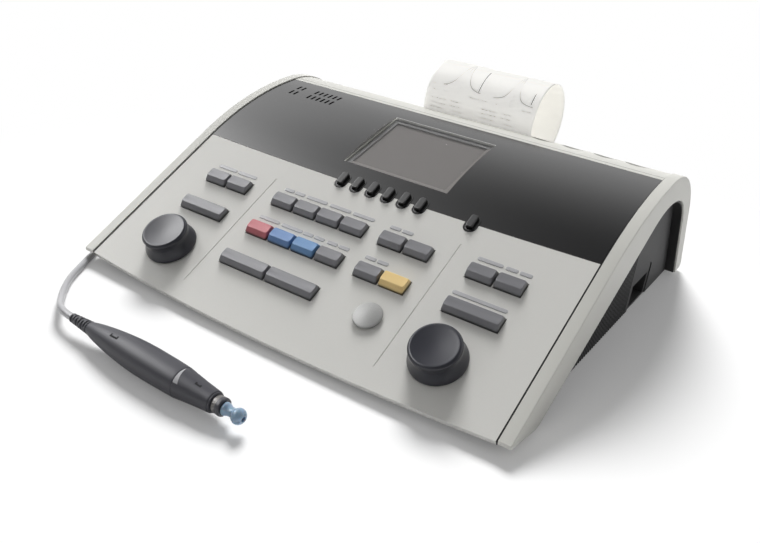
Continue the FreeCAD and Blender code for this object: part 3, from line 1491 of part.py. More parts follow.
def loudspeaker():
    """Round loudspeaker against the window's underside, below the slots."""
    angle = (D.slot_low + D.slot_high) / 2
    tilt = D.slope - angle
    sag = D.speaker_radius * D.speaker_radius / (D.window_radius * 2)
    reach = D.window_radius - D.skin - sag - 0.1
    seat = plus(bow_centre, times(point(-sin(tilt), cos(tilt)), reach))
    body = new_body("loudspeaker", x=D.speaker_column, y=seat[0], z=seat[1], tilt=tilt)
    r = D.speaker_radius
    deep = D.speaker_depth
    sketch = sketch_on(body, "XZ_Plane", "Profile")
    outline(sketch, (as_size(0), -deep), (r * 0.55, -deep), (r * 0.55, -deep * 0.5),
            (r * 0.9, as_size(-2)), (r, as_size(-2)), (r, as_size(0)), (r * 0.82, as_size(0)),
            (r * 0.25, -deep * 0.35), (as_size(0), -deep * 0.3))
    revolve(body, sketch, "Speaker", "V_Axis")
    return keep(body)


# ---------------------------------------------------------------- rear sockets and mains switch

def on_rear_wall(thing, x=0):
    """Frame of the rear wall: x right, second axis down the wall, third out of it."""
    face = leg_line(D.rear_inset, D.ground_gap)
    place(thing, x=x, y=face[0], z=face[1], tilt=D.leg_lean - 90)
    return thing


def rear_sockets():
    """Jack sockets, the probe's socket and the mains inlet, each a solid of its own."""
    solids = []
    wall = D.tray_wall
    h = -D.jack_height
    for index, x in enumerate(jack_columns()):
        nut = rod("jack_nut_%d" % index, x, h, 0, D.jack_nut, 2, raw=True)
        barrel = rod("jack_barrel_%d" % index, x, h, -wall - 11, D.jack_radius, wall + 12, raw=True)
        body = box("jack_body_%d" % index, x - 6, h - 6, -wall - 14, x + 6, h + 6, -wall, raw=True)
        bore = rod("jack_bore_%d" % index, x, h, -wall - 10, D.jack_bore, wall + 13, raw=True)
        solids.append(cut("jack_%d" % index, fuse("jack_solid_%d" % index, nut, barrel, body), bore))
    x = D.probe_socket_column
    ring = rod("probe_ring", x, h, -wall - 12, D.plug_radius - 1.1, wall + 12, raw=True)
    hood = rod("probe_hood", x, h, -wall - 14, D.plug_radius + 2, 14, raw=True)
    bore = rod("probe_bore", x, h, -D.plug_pin_length - 1, D.plug_pin + D.plug_play,
               D.plug_pin_length + 2, raw=True)
    solids.append(cut("probe_socket", fuse("probe_socket_solid", ring, hood), bore))
    x = D.inlet_column
    w, t = D.inlet_width - 0.2, D.inlet_height - 0.2
    shell = box("inlet_shell", x - w / 2, h - t / 2, -wall - 20, x + w / 2, h + t / 2, 0, raw=True)
    rim = box("inlet_rim", x - w / 2 - 3, h - t / 2 - 3, 0, x + w / 2 + 3, h + t / 2 + 3, 2, raw=True)
    well = box("inlet_well", x - w / 2 + 2, h - t / 2 + 2, -wall - 15, x + w / 2 - 2, h + t / 2 - 2, 3,
               raw=True)
    case = cut("inlet_case", fuse("inlet_solid", shell, rim), well)
    pins = [box("inlet_pin_%d" % i, x + dx - 1, h + dy - 2, -wall - 16, x + dx + 1, h + dy + 2, -6,
                raw=True) for i, (dx, dy) in enumerate(((-7, 2), (0, -3), (7, 2)))]
    solids.append(fuse("mains_inlet", case, *pins))
    x = D.rocker_column
    frame = (D.rocker_play + D.rocker_wall) * 2
    w, t = D.rocker_width + frame, D.rocker_length + frame
    shell = box("switch_shell", x - w / 2, h - t / 2, -wall - 16, x + w / 2, h + t / 2, 0, raw=True)
    rim = box("switch_rim", x - w / 2 - 1.5, h - t / 2 - 1.5, 0, x + w / 2 + 1.5, h + t / 2 + 1.5, 1.2,
              raw=True)
    a, b = D.rocker_width / 2 + D.rocker_play, D.rocker_length / 2 + D.rocker_play
    well = box("switch_well", x - a, h - b, -wall - 12, x + a, h + b, 3, raw=True)
    pin = rod("switch_pin_bore", x - w, h, 0, D.rocker_pin + 0.05, w * 2, "x", raw=True)
    solids.append(cut("switch_frame", fuse("switch_solid", shell, rim), well, pin))
    return keep(on_rear_wall(group("rear_sockets", *solids)))


def power_rocker():
    """Mains rocker, its two faces meeting in a shallow V over the pivot."""
    half = D.rocker_length / 2
    face = leg_line(D.rear_inset, D.ground_gap)
    pivot = plus(face, times(up_leg, D.jack_height))
    body = new_body("power_rocker", x=D.rocker_column, y=pivot[0], z=pivot[1],
                    tilt=D.leg_lean - 90 - D.rocker_tilt)
    sketch = sketch_on(body, "YZ_Plane", "Side")
    outline(sketch, (1 - half, as_size(-4)), (as_size(-3), as_size(-8)), (as_size(3), as_size(-8)),
            (half - 1, as_size(-4)), (half - 0.6, as_size(2.6)), (as_size(0), as_size(2)),
            (0.6 - half, as_size(2.6)))
    pad(body, sketch, "Rocker", D.rocker_width, both=True)
    pins = sketch_on(body, "YZ_Plane", "Pins")
    circle(pins, 0, 0, D.rocker_pin)
    pad(body, pins, "PivotPins", D.rocker_width + (D.rocker_play + D.rocker_wall / 2) * 2, both=True)
    return keep(body)


# ---------------------------------------------------------------- probe

def probe_body(label):
    return new_body(label, x=D.probe_left, y=-D.probe_front, z=D.probe_radius, turn=-D.probe_yaw)


def crest_arc(run, rise):
    """Radius of an arc that ends level after a run and a rise."""
    return (run * run + rise * rise) / (rise * 2)


def probe_handle():
    """Long tapered shell with a shallow waist at the joint to the nose."""
    body = probe_body("probe_handle")
    r = D.probe_radius
    swell, shoulder = as_size(40), D.probe_joint - 5
    sketch = sketch_on(body, "XZ_Plane", "Profile")
    outline(sketch, (as_size(0), as_size(0)), (as_size(0), r * 0.42), (swell / 2, r * 0.72),
            (swell, r * 0.91, crest_arc(D.probe_crest - swell, r * 0.09), -1),
            (D.probe_crest, r, crest_arc(shoulder - D.probe_crest, r * 0.03), -1),
            (shoulder, r * 0.97), (D.probe_joint, r * 0.94), (D.probe_joint, as_size(0)))
    revolve(body, sketch, "Shell", "H_Axis")
    return keep(body)


def probe_nose():
    """Conical nose with its end ring and the nut that holds the ear tip."""
    body = probe_body("probe_nose")
    r = D.probe_radius
    end = D.probe_length
    nut = end + D.nut_length
    sketch = sketch_on(body, "XZ_Plane", "Profile")
    outline(sketch, (D.probe_joint, as_size(0)), (D.probe_joint, r * 0.93),
            (end - 1.6, r * 0.65), (end, r * 0.6), (end, r * 0.5), (end + 1, D.nut_radius - 0.6),
            (nut - 1, D.nut_radius), (nut, D.nut_radius - 0.6), (nut, D.tip_bore + D.tube_wall),
            (nut + D.tube_length, D.tip_bore + D.tube_wall), (nut + D.tube_length, as_size(0)))
    revolve(body, sketch, "Nose", "H_Axis")
    bore = sketch_on(body, "XZ_Plane", "Bore")
    rectangle(bore, nut - 4, as_size(0), nut + D.tube_length + 3, as_size(1))
    revolve(body, bore, "SoundBore", "H_Axis", cut=True)
    return keep(body)


def probe_strain_relief():
    """Ribbed rubber sleeve between cord and handle."""
    body = probe_body("probe_strain_relief")
    long = D.relief_length
    thin, thick = D.cord_radius + 0.5, D.probe_radius * 0.42
    sketch = sketch_on(body, "XZ_Plane", "Profile")
    outline(sketch, (-long, as_size(0)), (-long, thin), (as_size(0), thick), (as_size(0), as_size(0)))
    revolve(body, sketch, "Sleeve", "H_Axis")
    ribs = sketch_on(body, "XZ_Plane", "Grooves")
    for index in range(5):
        x = -long + 2.2 + 3.4 * index
        rectangle(ribs, x, thin * 0.86 + 0.14 * index, x + 1.3, thick + 1)
    revolve(body, ribs, "Ribs", "H_Axis", cut=True)
    return keep(body)


def ear_tip():
    """Soft tip: flange, neck and bulb, with a bore that slides over the nose's tube."""
    body = probe_body("ear_tip")
    start = D.probe_length + D.nut_length + D.tip_play
    neck, bulb, long = D.tip_neck, D.tip_bulb, D.tip_length
    socket = D.tip_bore + D.tube_wall + D.tip_play
    deep = start + D.tube_length
    sketch = sketch_on(body, "XZ_Plane", "Profile")
    middle = start + long - bulb * 0.95
    outline(sketch, (start, socket), (start, neck + 1.1), (start + 2, neck + 1.1),
            (start + 4, neck), (middle - bulb * 0.7, neck), (middle, bulb, bulb * 1.02, -1),
            (start + long, bulb * 0.36), (start + long, D.tip_bore), (deep, D.tip_bore), (deep, socket))
    revolve(body, sketch, "Tip", "H_Axis")
    return keep(body)


# ---------------------------------------------------------------- probe cord

def along_probe(x):
    """Place on the probe's axis, at a distance from its tail."""
    yaw = math.radians(D.probe_yaw.value)
    return FreeCAD.Vector(D.probe_left.value + x * math.cos(yaw),
                          -D.probe_front.value - x * math.sin(yaw), D.probe_radius.value)


# route of the cord on the table, from the panel's front edge
FRONT_ROUTE = [(-143, -63.5, 6), (-161, -47.5, 2.8), (-174.5, -31, 2.8), (-185, -12, 2.8),
               (-196.5, 9, 2.8), (-207.5, 29, 2.8), (-213, 60, 2.8), (-209, 98, 2.8),
               (-211, 138, 2.8)]


def rounded_wire(points, label):
    """Straight runs joined by tangent arcs, each as large as its two runs allow."""
    edges, start = [], points[0]
    radii = []
    for before, here, after in zip(points, points[1:], points[2:]):
        into, out = here - before, after - here
        turn = into.getAngle(out)
        reach = 0.45 * min(into.Length, out.Length)
        radii.append(reach / math.tan(turn / 2))
        first = here - FreeCAD.Vector(into).normalize() * reach
        last = here + FreeCAD.Vector(out).normalize() * reach
        chord = FreeCAD.Vector(out).normalize() - FreeCAD.Vector(into).normalize()
        depth = radii[-1] / math.cos(turn / 2) - radii[-1]
        middle = here + chord.normalize() * depth
        edges.append(Part.LineSegment(start, first).toShape())
        edges.append(Part.Arc(first, middle, last).toShape())
        start = last
    edges.append(Part.LineSegment(start, points[-1]).toShape())
    print(label, "radii", [round(radius, 1) for radius in radii])
    return Part.Wire(edges)


def tube(label, points, radius):
    wire = rounded_wire(points, label)
    way = points[1] - points[0]
    profile = Part.Wire(Part.Circle(points[0], way, radius).toShape())
    solid = wire.makePipeShell([profile], True, False)
    ideal = math.pi * radius ** 2 * wire.Length
    print(label, "length", round(wire.Length, 1), "volume ratio", round(solid.Volume / ideal, 5))
    if abs(solid.Volume / ideal - 1) > 0.01:
        raise ValueError(label + " is not a clean tube")
    feature = doc.addObject("Part::Feature", label)
    feature.Label = label
    feature.Shape = solid
    feature.Placement = FreeCAD.Placement(
        FreeCAD.Vector(0, D.origin_y.value, 0), FreeCAD.Rotation())
    return keep(feature)


def coil_size():
    """Inner radius, outer radius and height of the coil's outer shape."""
    diameter = D.cord_radius.value * 2
    half = D.coil_turns_wide.value * diameter / 2
    return (D.coil_radius.value - half, D.coil_radius.value + half,
            D.coil_turns_high.value * diameter)


def coil_leads():
    """Ends of the coil's straight leads: one from the front, one from the rear."""
    radius = D.cord_radius.value
    x, y = D.coil_x.value, D.coil_back.value
    front = FreeCAD.Vector(x + D.coil_radius.value, y - D.lead_in.value, radius)
    rear = FreeCAD.Vector(x + D.coil_radius.value + radius, y + D.lead_in.value, radius * 3)
    return front, rear


def probe_cord_coil():
    """Outer shape of the put-away turns, with the two straight leads that enter it."""
    inner, outer, high = coil_size()
    centre = FreeCAD.Vector(D.coil_x.value, D.coil_back.value, 0)
    up = FreeCAD.Vector(0, 0, 1)
    ring = Part.makeCylinder(outer, high, centre, up).cut(Part.makeCylinder(inner, high, centre, up))
    front, rear = coil_leads()
    back = FreeCAD.Vector(0, 1, 0)
    reach = D.lead_in.value
    ring = ring.fuse(Part.makeCylinder(D.cord_radius.value, reach, front, back))
    ring = ring.fuse(Part.makeCylinder(D.cord_radius.value, reach, rear, back * -1))
    feature = doc.addObject("Part::Feature", "probe_cord_coil")
    feature.Label = "probe_cord_coil"
    feature.Shape = ring.removeSplitter()
    feature.Placement = FreeCAD.Placement(
        FreeCAD.Vector(0, D.origin_y.value, 0), FreeCAD.Rotation())
    return keep(feature)


def plug_cord_exit():
    """Where the cord leaves the angled plug, and the wall's outward direction."""
    lean = math.radians(D.leg_lean.value)
    face = leg_line(D.rear_inset, D.ground_gap)
    out = D.plug_exit.value
    up = D.jack_height.value
    y = face[0].value - up * math.sin(lean) + out * math.cos(lean)
    z = face[1].value + up * math.cos(lean) + out * math.sin(lean)
    return FreeCAD.Vector(D.probe_socket_column.value - D.plug_radius.value - 8, y, z)


def probe_plug():
    """Angled plug: a barrel in the socket's mouth and a side sleeve for the cord."""
    h = -D.jack_height
    barrel = rod("plug_barrel", 0, h, 0, D.plug_radius, D.plug_length, raw=True)
    pin = rod("plug_pin", 0, h, -D.plug_pin_length, D.plug_pin, D.plug_pin_length + 0.01, raw=True)
    sleeve = rod("plug_sleeve", -D.plug_radius - 8, h, D.plug_exit, D.cord_radius + 1.4,
                 D.plug_radius + 8, "x", raw=True)
    return keep(on_rear_wall(fuse("probe_plug", barrel, pin, sleeve), D.probe_socket_column))


def probe_cord():
    radius = D.cord_radius.value
    front, rear = coil_leads()
    start = along_probe(-D.relief_length.value)
    straight = along_probe(-D.relief_length.value - 15)
    middle = [FreeCAD.Vector(*p) for p in FRONT_ROUTE]
    entry = front - FreeCAD.Vector(0, 33, 0)
    tube("probe_cord_front", [start, straight] + middle + [entry, front], radius)
    probe_cord_coil()
    exit_point = plug_cord_exit()
    rear_points = [exit_point,
                   exit_point + FreeCAD.Vector(-24, 0, 0),
                   exit_point + FreeCAD.Vector(-45, -15.5, -7.5),
                   FreeCAD.Vector(rear.x - 3.5, rear.y + 46, rear.z + 10),
                   FreeCAD.Vector(rear.x, rear.y + 22, rear.z), rear]
    tube("probe_cord_rear", rear_points, radius)


# ---------------------------------------------------------------- build, check and write

def build():
    base_tray()
    side_rail(-1)
    side_rail(1)
    keep(group("arch_liners", arch_liner(-1), arch_liner(1)))
    control_panel()
    display_window()
    screen_lens()
    lcd_module()
    rear_cover()
    printer_lid()
    platen_roller()
    printer_frame()
    paper_roll()
    paper_strip()
    for name, x, s, width in key_places():
        key(name, x, s, width)
    for name, x in soft_places():
        soft_key(name, x)
    dome_key()
    knob("knob_left")
    knob("knob_right")
    keypad_board()
    main_board()
    air_pump()
    loudspeaker()
    rear_sockets()
    power_rocker()
    rubber_feet()
    case_screws()
    probe_handle()
    probe_nose()
    probe_strain_relief()
    ear_tip()
    probe_plug()
    probe_cord()


build()
doc.recompute()

for thing in doc.Objects:
    if "Invalid" in thing.State or "Error" in thing.State:
        raise RuntimeError("failed: %s (%s)" % (thing.Label, thing.getStatusString()))

os.makedirs("parts", exist_ok=True)
for node in nodes:
    shape = node.Shape
    if shape.isNull() or not shape.isValid() or not shape.Solids:
        raise RuntimeError("bad shape: " + node.Label)
    shape.exportStep("parts/%s.step" % node.Label)
print(len(nodes), "nodes written")
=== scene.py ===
import functools
import json
import math

import bmesh
import bpy
import numpy as np
from bpy.props import FloatProperty, FloatVectorProperty, IntProperty, PointerProperty
from mathutils import Matrix, Vector


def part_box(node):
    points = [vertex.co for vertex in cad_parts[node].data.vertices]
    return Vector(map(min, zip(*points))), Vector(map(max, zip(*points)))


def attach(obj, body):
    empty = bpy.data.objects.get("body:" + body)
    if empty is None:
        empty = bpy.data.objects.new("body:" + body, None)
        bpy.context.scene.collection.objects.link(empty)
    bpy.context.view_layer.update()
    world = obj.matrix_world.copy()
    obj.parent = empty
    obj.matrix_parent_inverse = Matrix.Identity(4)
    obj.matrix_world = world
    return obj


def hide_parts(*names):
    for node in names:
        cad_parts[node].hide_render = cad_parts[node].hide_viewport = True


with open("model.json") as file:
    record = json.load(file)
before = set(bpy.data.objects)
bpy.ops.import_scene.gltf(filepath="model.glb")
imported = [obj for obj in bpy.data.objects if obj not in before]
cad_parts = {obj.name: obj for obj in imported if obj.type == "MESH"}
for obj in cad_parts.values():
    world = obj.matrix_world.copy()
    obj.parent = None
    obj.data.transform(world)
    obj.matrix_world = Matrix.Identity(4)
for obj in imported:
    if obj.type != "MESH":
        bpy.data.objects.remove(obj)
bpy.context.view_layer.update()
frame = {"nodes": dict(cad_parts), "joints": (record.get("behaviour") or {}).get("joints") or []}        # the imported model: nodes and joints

bl_info = {
    "name": "Desktop Audiometer",
    "version": (1, 0, 0),
    "blender": (4, 5, 0),
    "location": "3D View > Sidebar > Audiometer",
    "description": "Key caps, knobs, probe, cord, paper and finishes of a desktop audiometer",
    "category": "Add Mesh",
}

MM = 0.001

# The deck's slope and front edge, read from the knobs' joints.
KNOB_ROW = 34.8 * MM
JOINTS = {joint["name"]: joint for joint in frame["joints"]}
KNOB_JOINT = JOINTS["knob_right_turn"]
SLOPE = math.atan2(-KNOB_JOINT["axis"][1], KNOB_JOINT["axis"][2])
FRONT_Y = KNOB_JOINT["pos_m"][1] - KNOB_ROW * math.cos(SLOPE)
FRONT_Z = KNOB_JOINT["pos_m"][2] - KNOB_ROW * math.sin(SLOPE)


# ---------------------------------------------------------------- shapes

def on_deck(x, s, n):
    """Places on the sloped deck, from across, up the slope and off the surface: y is the front edge
    plus s cos(slope) less n sin(slope), z the edge plus s sin(slope) plus n cos(slope)."""
    x, s, n = np.broadcast_arrays(x, s, n)
    y = FRONT_Y + s * math.cos(SLOPE) - n * math.sin(SLOPE)
    z = FRONT_Z + s * math.sin(SLOPE) + n * math.cos(SLOPE)
    return np.stack([x, y, z], -1)


OFF_DECK = on_deck(0, 0, 1) - on_deck(0, 0, 0)      # the direction straight off the deck


def oblong(half_width, half_depth, corner, steps=7):
    """Points round oblongs with rounded corners, one oblong per row of the sizes given:
    each corner's centre plus the corner radius times (cos t, sin t), t running over a quarter turn."""
    quarter = np.repeat(np.arange(4), steps)
    t = np.tile(np.linspace(0, np.pi / 2, steps), 4) + quarter * np.pi / 2
    side = np.array([1, -1, -1, 1])[quarter]
    end = np.array([1, 1, -1, -1])[quarter]
    w, d, r = (np.reshape(a, (-1, 1)) for a in np.broadcast_arrays(half_width, half_depth, corner))
    return side * (w - r) + r * np.cos(t), end * (d - r) + r * np.sin(t)


def through(points, steps=6):
    """A smooth line through control points: on each span the cubic whose slopes at both ends
    are half the way between the neighbours (Catmull and Rom's rule)."""
    p = np.asarray(points, float)
    p = np.vstack([2 * p[0] - p[1], p, 2 * p[-1] - p[-2]])
    t = np.linspace(0, 1, steps, endpoint=False)[None, :, None]
    a, b, c, d = (p[i:len(p) - 3 + i, None, :] for i in range(4))
    line = 0.5 * (2 * b + (c - a) * t + (2 * a - 5 * b + 4 * c - d) * t ** 2
                  + (3 * b - a - 3 * c + d) * t ** 3)
    return np.vstack([line.reshape(-1, p.shape[1]), p[-2]])


def mesh_piece(name, rings, start=None, end=None, wrap=True, uv=None, looped=False):
    """A mesh over rings of points: each ring joins the next with quads, and a pole closes an end with a fan.
    A looped piece joins its last ring to its first. uv gives two values for every point of the rings
    and goes to a map of that shape."""
    count, around = rings.shape[:2]
    index = np.arange(count * around).reshape(count, around)
    if looped:
        index = np.vstack([index, index[:1]])
    here, there = (index, np.roll(index, -1, 1)) if wrap else (index[:, :-1], index[:, 1:])
    quads = np.stack([here[:-1], there[:-1], there[1:], here[1:]], -1).reshape(-1, 4)
    places, fans = [rings.reshape(-1, 3)], []
    for pole, row in ((start, 0), (end, count - 1)):
        if pole is not None:
            tip = np.full(here.shape[1], count * around + len(places) - 1)
            order = (tip, there[row], here[row]) if row == 0 else (tip, here[row], there[row])
            fans.append(np.stack(order, -1))
            places.append(np.reshape(pole, (1, 3)))
    mesh = bpy.data.meshes.new(name)
    faces = quads.tolist() + [face for fan in fans for face in fan.tolist()]
    mesh.from_pydata(np.vstack(places).tolist(), [], faces)
    mesh.validate()
    if uv is not None:
        corners = np.zeros(len(mesh.loops), int)
        mesh.loops.foreach_get("vertex_index", corners)
        flat = np.vstack([uv.reshape(-1, 2), np.repeat(uv[:1, 0], len(places) - 1, 0)])
        values = flat[corners]
        if wrap:
            # a face across the seam reads the far side one turn on
            face = np.repeat(np.arange(len(mesh.polygons)), [p.loop_total for p in mesh.polygons])
            low = np.full(len(mesh.polygons), np.inf)
            np.minimum.at(low, face, values[:, 1])
            turn = uv[0, 1, 1] * around
            values[:, 1] += np.where(values[:, 1] - low[face] > turn / 2, -turn, 0)
        mesh.uv_layers.new(name="Surface").data.foreach_set("uv", values.astype(np.float32).ravel())
    return mesh_object(name, mesh)


def mesh_object(name, mesh):
    """The piece's object, at the origin, smooth and with its faces outwards."""
    work = bmesh.new()
    work.from_mesh(mesh)
    bmesh.ops.recalc_face_normals(work, faces=work.faces)
    work.to_mesh(mesh)
    work.free()
    mesh.shade_smooth()
    piece = bpy.data.objects.new(name, mesh)
    bpy.context.scene.collection.objects.link(piece)
    return piece


def raised(name, x, s, outline, n):
    """A closed piece on the deck: one outline per height n off the surface, and a pole at each end."""
    across, along = outline
    rings = on_deck(x + across, s + along, n[:, None])
    return mesh_piece(name, rings, on_deck(x, s, n[0]), on_deck(x, s, n[-1]))


def turned(origin, axis, across, line, around):
    """Rings round an axis: the origin plus the line's first value along the axis,
    and its second value times (cos a, sin a) on the two directions across it."""
    axis, across = Vector(axis).normalized(), Vector(across).normalized()
    other = axis.cross(across)
    a = np.linspace(0, 2 * np.pi, around, endpoint=False)
    along, radius = line[:, 0][:, None, None], line[:, 1][:, None, None]
    ring = np.cos(a)[None, :, None] * np.array(across) + np.sin(a)[None, :, None] * np.array(other)
    return np.array(origin) + along * np.array(axis) + radius * ring


def creased(piece, angle=32):
    """Joins loose triangles and keeps the edges sharper than an angle, by modifiers alone."""
    weld = piece.modifiers.new("Join", "WELD")
    weld.merge_threshold = 2e-6
    split = piece.modifiers.new("Creases", "EDGE_SPLIT")
    split.split_angle = math.radians(angle)
    piece.data.shade_smooth()


# ---------------------------------------------------------------- finishes

def math_node(operation, swapped=False):
    """A method of Signal that puts it and the other value through one Math node; swapped puts it second."""
    def method(self, *others):
        values = (*others, self) if swapped else (self, *others)
        return self.finish.node("ShaderNodeMath", {"operation": operation}, dict(enumerate(values)))
    return method


class Signal:
    """A shader socket that takes part in arithmetic: an expression on it adds its Math nodes."""

    def __init__(self, finish, socket):
        self.finish, self.socket = finish, socket

    __add__ = __radd__ = math_node("ADD")
    __mul__ = __rmul__ = math_node("MULTIPLY")
    __sub__, __rsub__ = math_node("SUBTRACT"), math_node("SUBTRACT", swapped=True)
    __truediv__, __rtruediv__ = math_node("DIVIDE"), math_node("DIVIDE", swapped=True)
    __pow__, __abs__ = math_node("POWER"), math_node("ABSOLUTE")
    root, sine = math_node("SQRT"), math_node("SINE")
    least, most = math_node("MINIMUM"), math_node("MAXIMUM")
    wrap = math_node("WRAP")

    def __neg__(self):
        return self * -1.0

    def wrapped(self, low, high):
        return self.wrap(high, low)

    def below(self, limit, soft):
        """1 under a limit and 0 over it, smooth over a width."""
        return self.finish.node("ShaderNodeMapRange", {"interpolation_type": "SMOOTHSTEP"},
                                {0: self, 1: limit - soft, 2: limit + soft, 3: 1.0, 4: 0.0})


def highest(signals):
    """The greatest of several values."""
    return functools.reduce(Signal.most, signals)


class Finish:
    """A material, or the room, whose nodes all come from one method."""

    def __init__(self, name, kind="materials"):
        self.material = getattr(bpy.data, kind).new(name)
        self.material.use_nodes = True
        self.tree = self.material.node_tree
        self.tree.nodes.clear()

    def node(self, kind, settings=(), sockets=(), out=0):
        """Adds a node: its settings first, then the values or links of its sockets."""
        made = self.tree.nodes.new(kind)
        for key, value in dict(settings).items():
            setattr(made, key, value)
        for key, value in dict(sockets).items():
            if isinstance(value, Signal):
                self.tree.links.new(value.socket, made.inputs[key])
            else:
                made.inputs[key].default_value = value
        return Signal(self, made.outputs[out])

    def parts(self, vector, count=3):
        """The first values of a vector."""
        return [self.node("ShaderNodeSeparateXYZ", (), {0: vector}, out=i) for i in range(count)]

    def places(self, kind="Object"):
        """The object's own x, y and z, in metres, or those of another kind."""
        return self.parts(self.node("ShaderNodeTexCoord", out=kind))

    def surface_map(self):
        """The two values of the piece's own map."""
        return self.parts(self.node("ShaderNodeUVMap", {"uv_map": "Surface"}), 2)

    def noise(self, size, detail=2.0, rough=0.5):
        """Noise whose grains are about size metres wide."""
        vector = self.node("ShaderNodeTexCoord", out="Object")
        return self.node("ShaderNodeTexNoise", (), {"Vector": vector, "Scale": 1 / size, "Detail": detail,
                                                    "Roughness": rough})

    def mix(self, factor, a, b):
        return self.node("ShaderNodeMix", {"data_type": "RGBA"}, {0: factor, 6: a, 7: b}, out=2)

    def tones(self, factor, colour, low, high):
        """A linear colour that goes from one share of itself to another."""
        return self.mix(factor, shade(colour, low), shade(colour, high))

    def drift(self, colour, amount, size=0.09):
        """A linear colour that drifts in tone by a share, over patches of a size."""
        return self.tones(self.noise(size), colour, 1 - amount, 1 + amount)

    def bump(self, height, strength, distance):
        return self.node("ShaderNodeBump", (),
                         {"Height": height, "Strength": strength, "Distance": distance})

    def surface(self, **sockets):
        """The shader, with socket names written with _ for a space."""
        shader = self.node("ShaderNodeBsdfPrincipled", (),
                           {key.replace("_", " "): value for key, value in sockets.items()})
        self.node_out(shader)
        return self.material

    def node_out(self, shader, kind="ShaderNodeOutputMaterial"):
        out = self.tree.nodes.new(kind)
        self.tree.links.new(shader.socket, out.inputs["Surface"])
        return self.material


def rgb(value):
    """A display colour or grey, as it is read on a screen, made linear and given its alpha."""
    v = np.ones(3) * np.asarray(value, float)
    line = np.where(v <= 0.04045, v / 12.92, ((v + 0.055) / 1.055) ** 2.4)
    return (*line.tolist(), 1.0)


def shade(value, factor):
    """A linear colour made lighter or darker."""
    return tuple(min(1.0, c * factor) for c in value[:3]) + (1.0,)


def moulded(name, colour, roughness, grain, tone, relief, coat=0.0, specular=0.5):
    """Moulded plastic or rubber: fine grain in its relief and roughness, and a slow drift in tone."""
    f = Finish(name)
    fine = f.noise(grain, 3.0)
    return f.surface(Base_Color=f.drift(rgb(colour), tone), Roughness=roughness - 0.04 + fine * 0.08,
                     Coat_Weight=coat, Coat_Roughness=0.3, Specular_IOR_Level=specular,
                     Normal=f.bump(fine, relief, 0.0002))


# ---------------------------------------------------------------- settings

def colour_of(name, what, value):
    return FloatVectorProperty(name=name, description="Colour of " + what, subtype="COLOR", size=3, min=0,
                               max=1, default=value)


def length_of(name, text, value):
    return FloatProperty(name=name, description=text, subtype="DISTANCE", unit="LENGTH", min=0,
                         default=value * MM)


class CaseSettings(bpy.types.PropertyGroup):
    rails: colour_of("Rails and Cover", "the rails, the rear cover and the lid", (0.81, 0.808, 0.785))
    panel: colour_of("Panel", "the painted control panel", (0.865, 0.862, 0.845))
    window: colour_of("Window", "the gloss window", (0.055, 0.055, 0.06))
    tray: colour_of("Tray", "the lower housing", (0.17, 0.17, 0.175))
    liner: colour_of("Arch Liner", "the lining of the arches", (0.06, 0.06, 0.065))
    lamp: colour_of("Lamp Lenses", "the unlit lamp lenses", (0.72, 0.72, 0.73))
    lamp_width: length_of("Lamp Width", "Width of a lamp lens", 3.4)


class KeySettings(bpy.types.PropertyGroup):
    depth: length_of("Key Depth", "Depth of a key up the slope", 13)
    height: length_of("Key Height", "Height of the cap over the panel", 5)
    pitch: length_of("Key Pitch", "Distance between two keys' centres", 23)
    width: length_of("Key Width", "Width of a single key", 21.2)
    bevel: length_of("Bevel", "Half of what the front and rear bevels run in together", 2.4)
    corner: length_of("Corner", "Corner radius seen from above", 1.3)
    grey: colour_of("Grey Keys", "the plain keys", (0.44, 0.44, 0.455))
    red: colour_of("Red Key", "the red key", (0.70, 0.36, 0.39))
    blue: colour_of("Blue Key", "the blue key", (0.34, 0.49, 0.69))
    light_blue: colour_of("Light Blue Key", "the light blue key", (0.36, 0.53, 0.71))
    yellow: colour_of("Yellow Key", "the yellow key", (0.92, 0.80, 0.54))
    soft: colour_of("Soft Keys", "the keys under the screen", (0.065, 0.065, 0.07))


class KnobSettings(bpy.types.PropertyGroup):
    colour: colour_of("Knob", "the knobs", (0.14, 0.143, 0.175))
    radius: length_of("Skirt Radius", "Radius at the foot", 21)
    waist: length_of("Waist Radius", "Radius at the waist", 18.2)
    top: length_of("Top Radius", "Radius at the rim", 18.6)
    height: length_of("Height", "Height over the panel", 18)


class ProbeSettings(bpy.types.PropertyGroup):
    colour: colour_of("Probe", "the probe's shell", (0.215, 0.215, 0.24))
    sleeve: colour_of("Sleeve", "the strain relief and the nut", (0.24, 0.24, 0.26))
    tip: colour_of("Ear Tip", "the soft tip", (0.53, 0.63, 0.72))
    cord: colour_of("Cord", "the cord's jacket", (0.68, 0.68, 0.69))
    radius: length_of("Radius", "Radius at the thickest place", 11.5)
    cord_diameter: length_of("Cord Diameter", "Diameter of the cord", 5.6)


class PaperSettings(bpy.types.PropertyGroup):
    colour: colour_of("Paper", "the thermal paper", (0.985, 0.98, 0.965))
    ink: colour_of("Print", "the print", (0.25, 0.25, 0.28))
    width: length_of("Width", "Width of the strip", 112)
    curl: length_of("Curl Radius", "Radius of the strip's curl", 35.5)


class StageSettings(bpy.types.PropertyGroup):
    lamp: FloatProperty(name="Main Lamp", description="Strength of the broad light from behind on the left",
                        min=0, default=3.6)
    sky: FloatProperty(name="Room Light", description="Strength of the even light of the room", min=0,
                       default=0.3)
    samples_around: IntProperty(name="Rounding", description="Facets round a turned piece", min=24,
                                default=64)


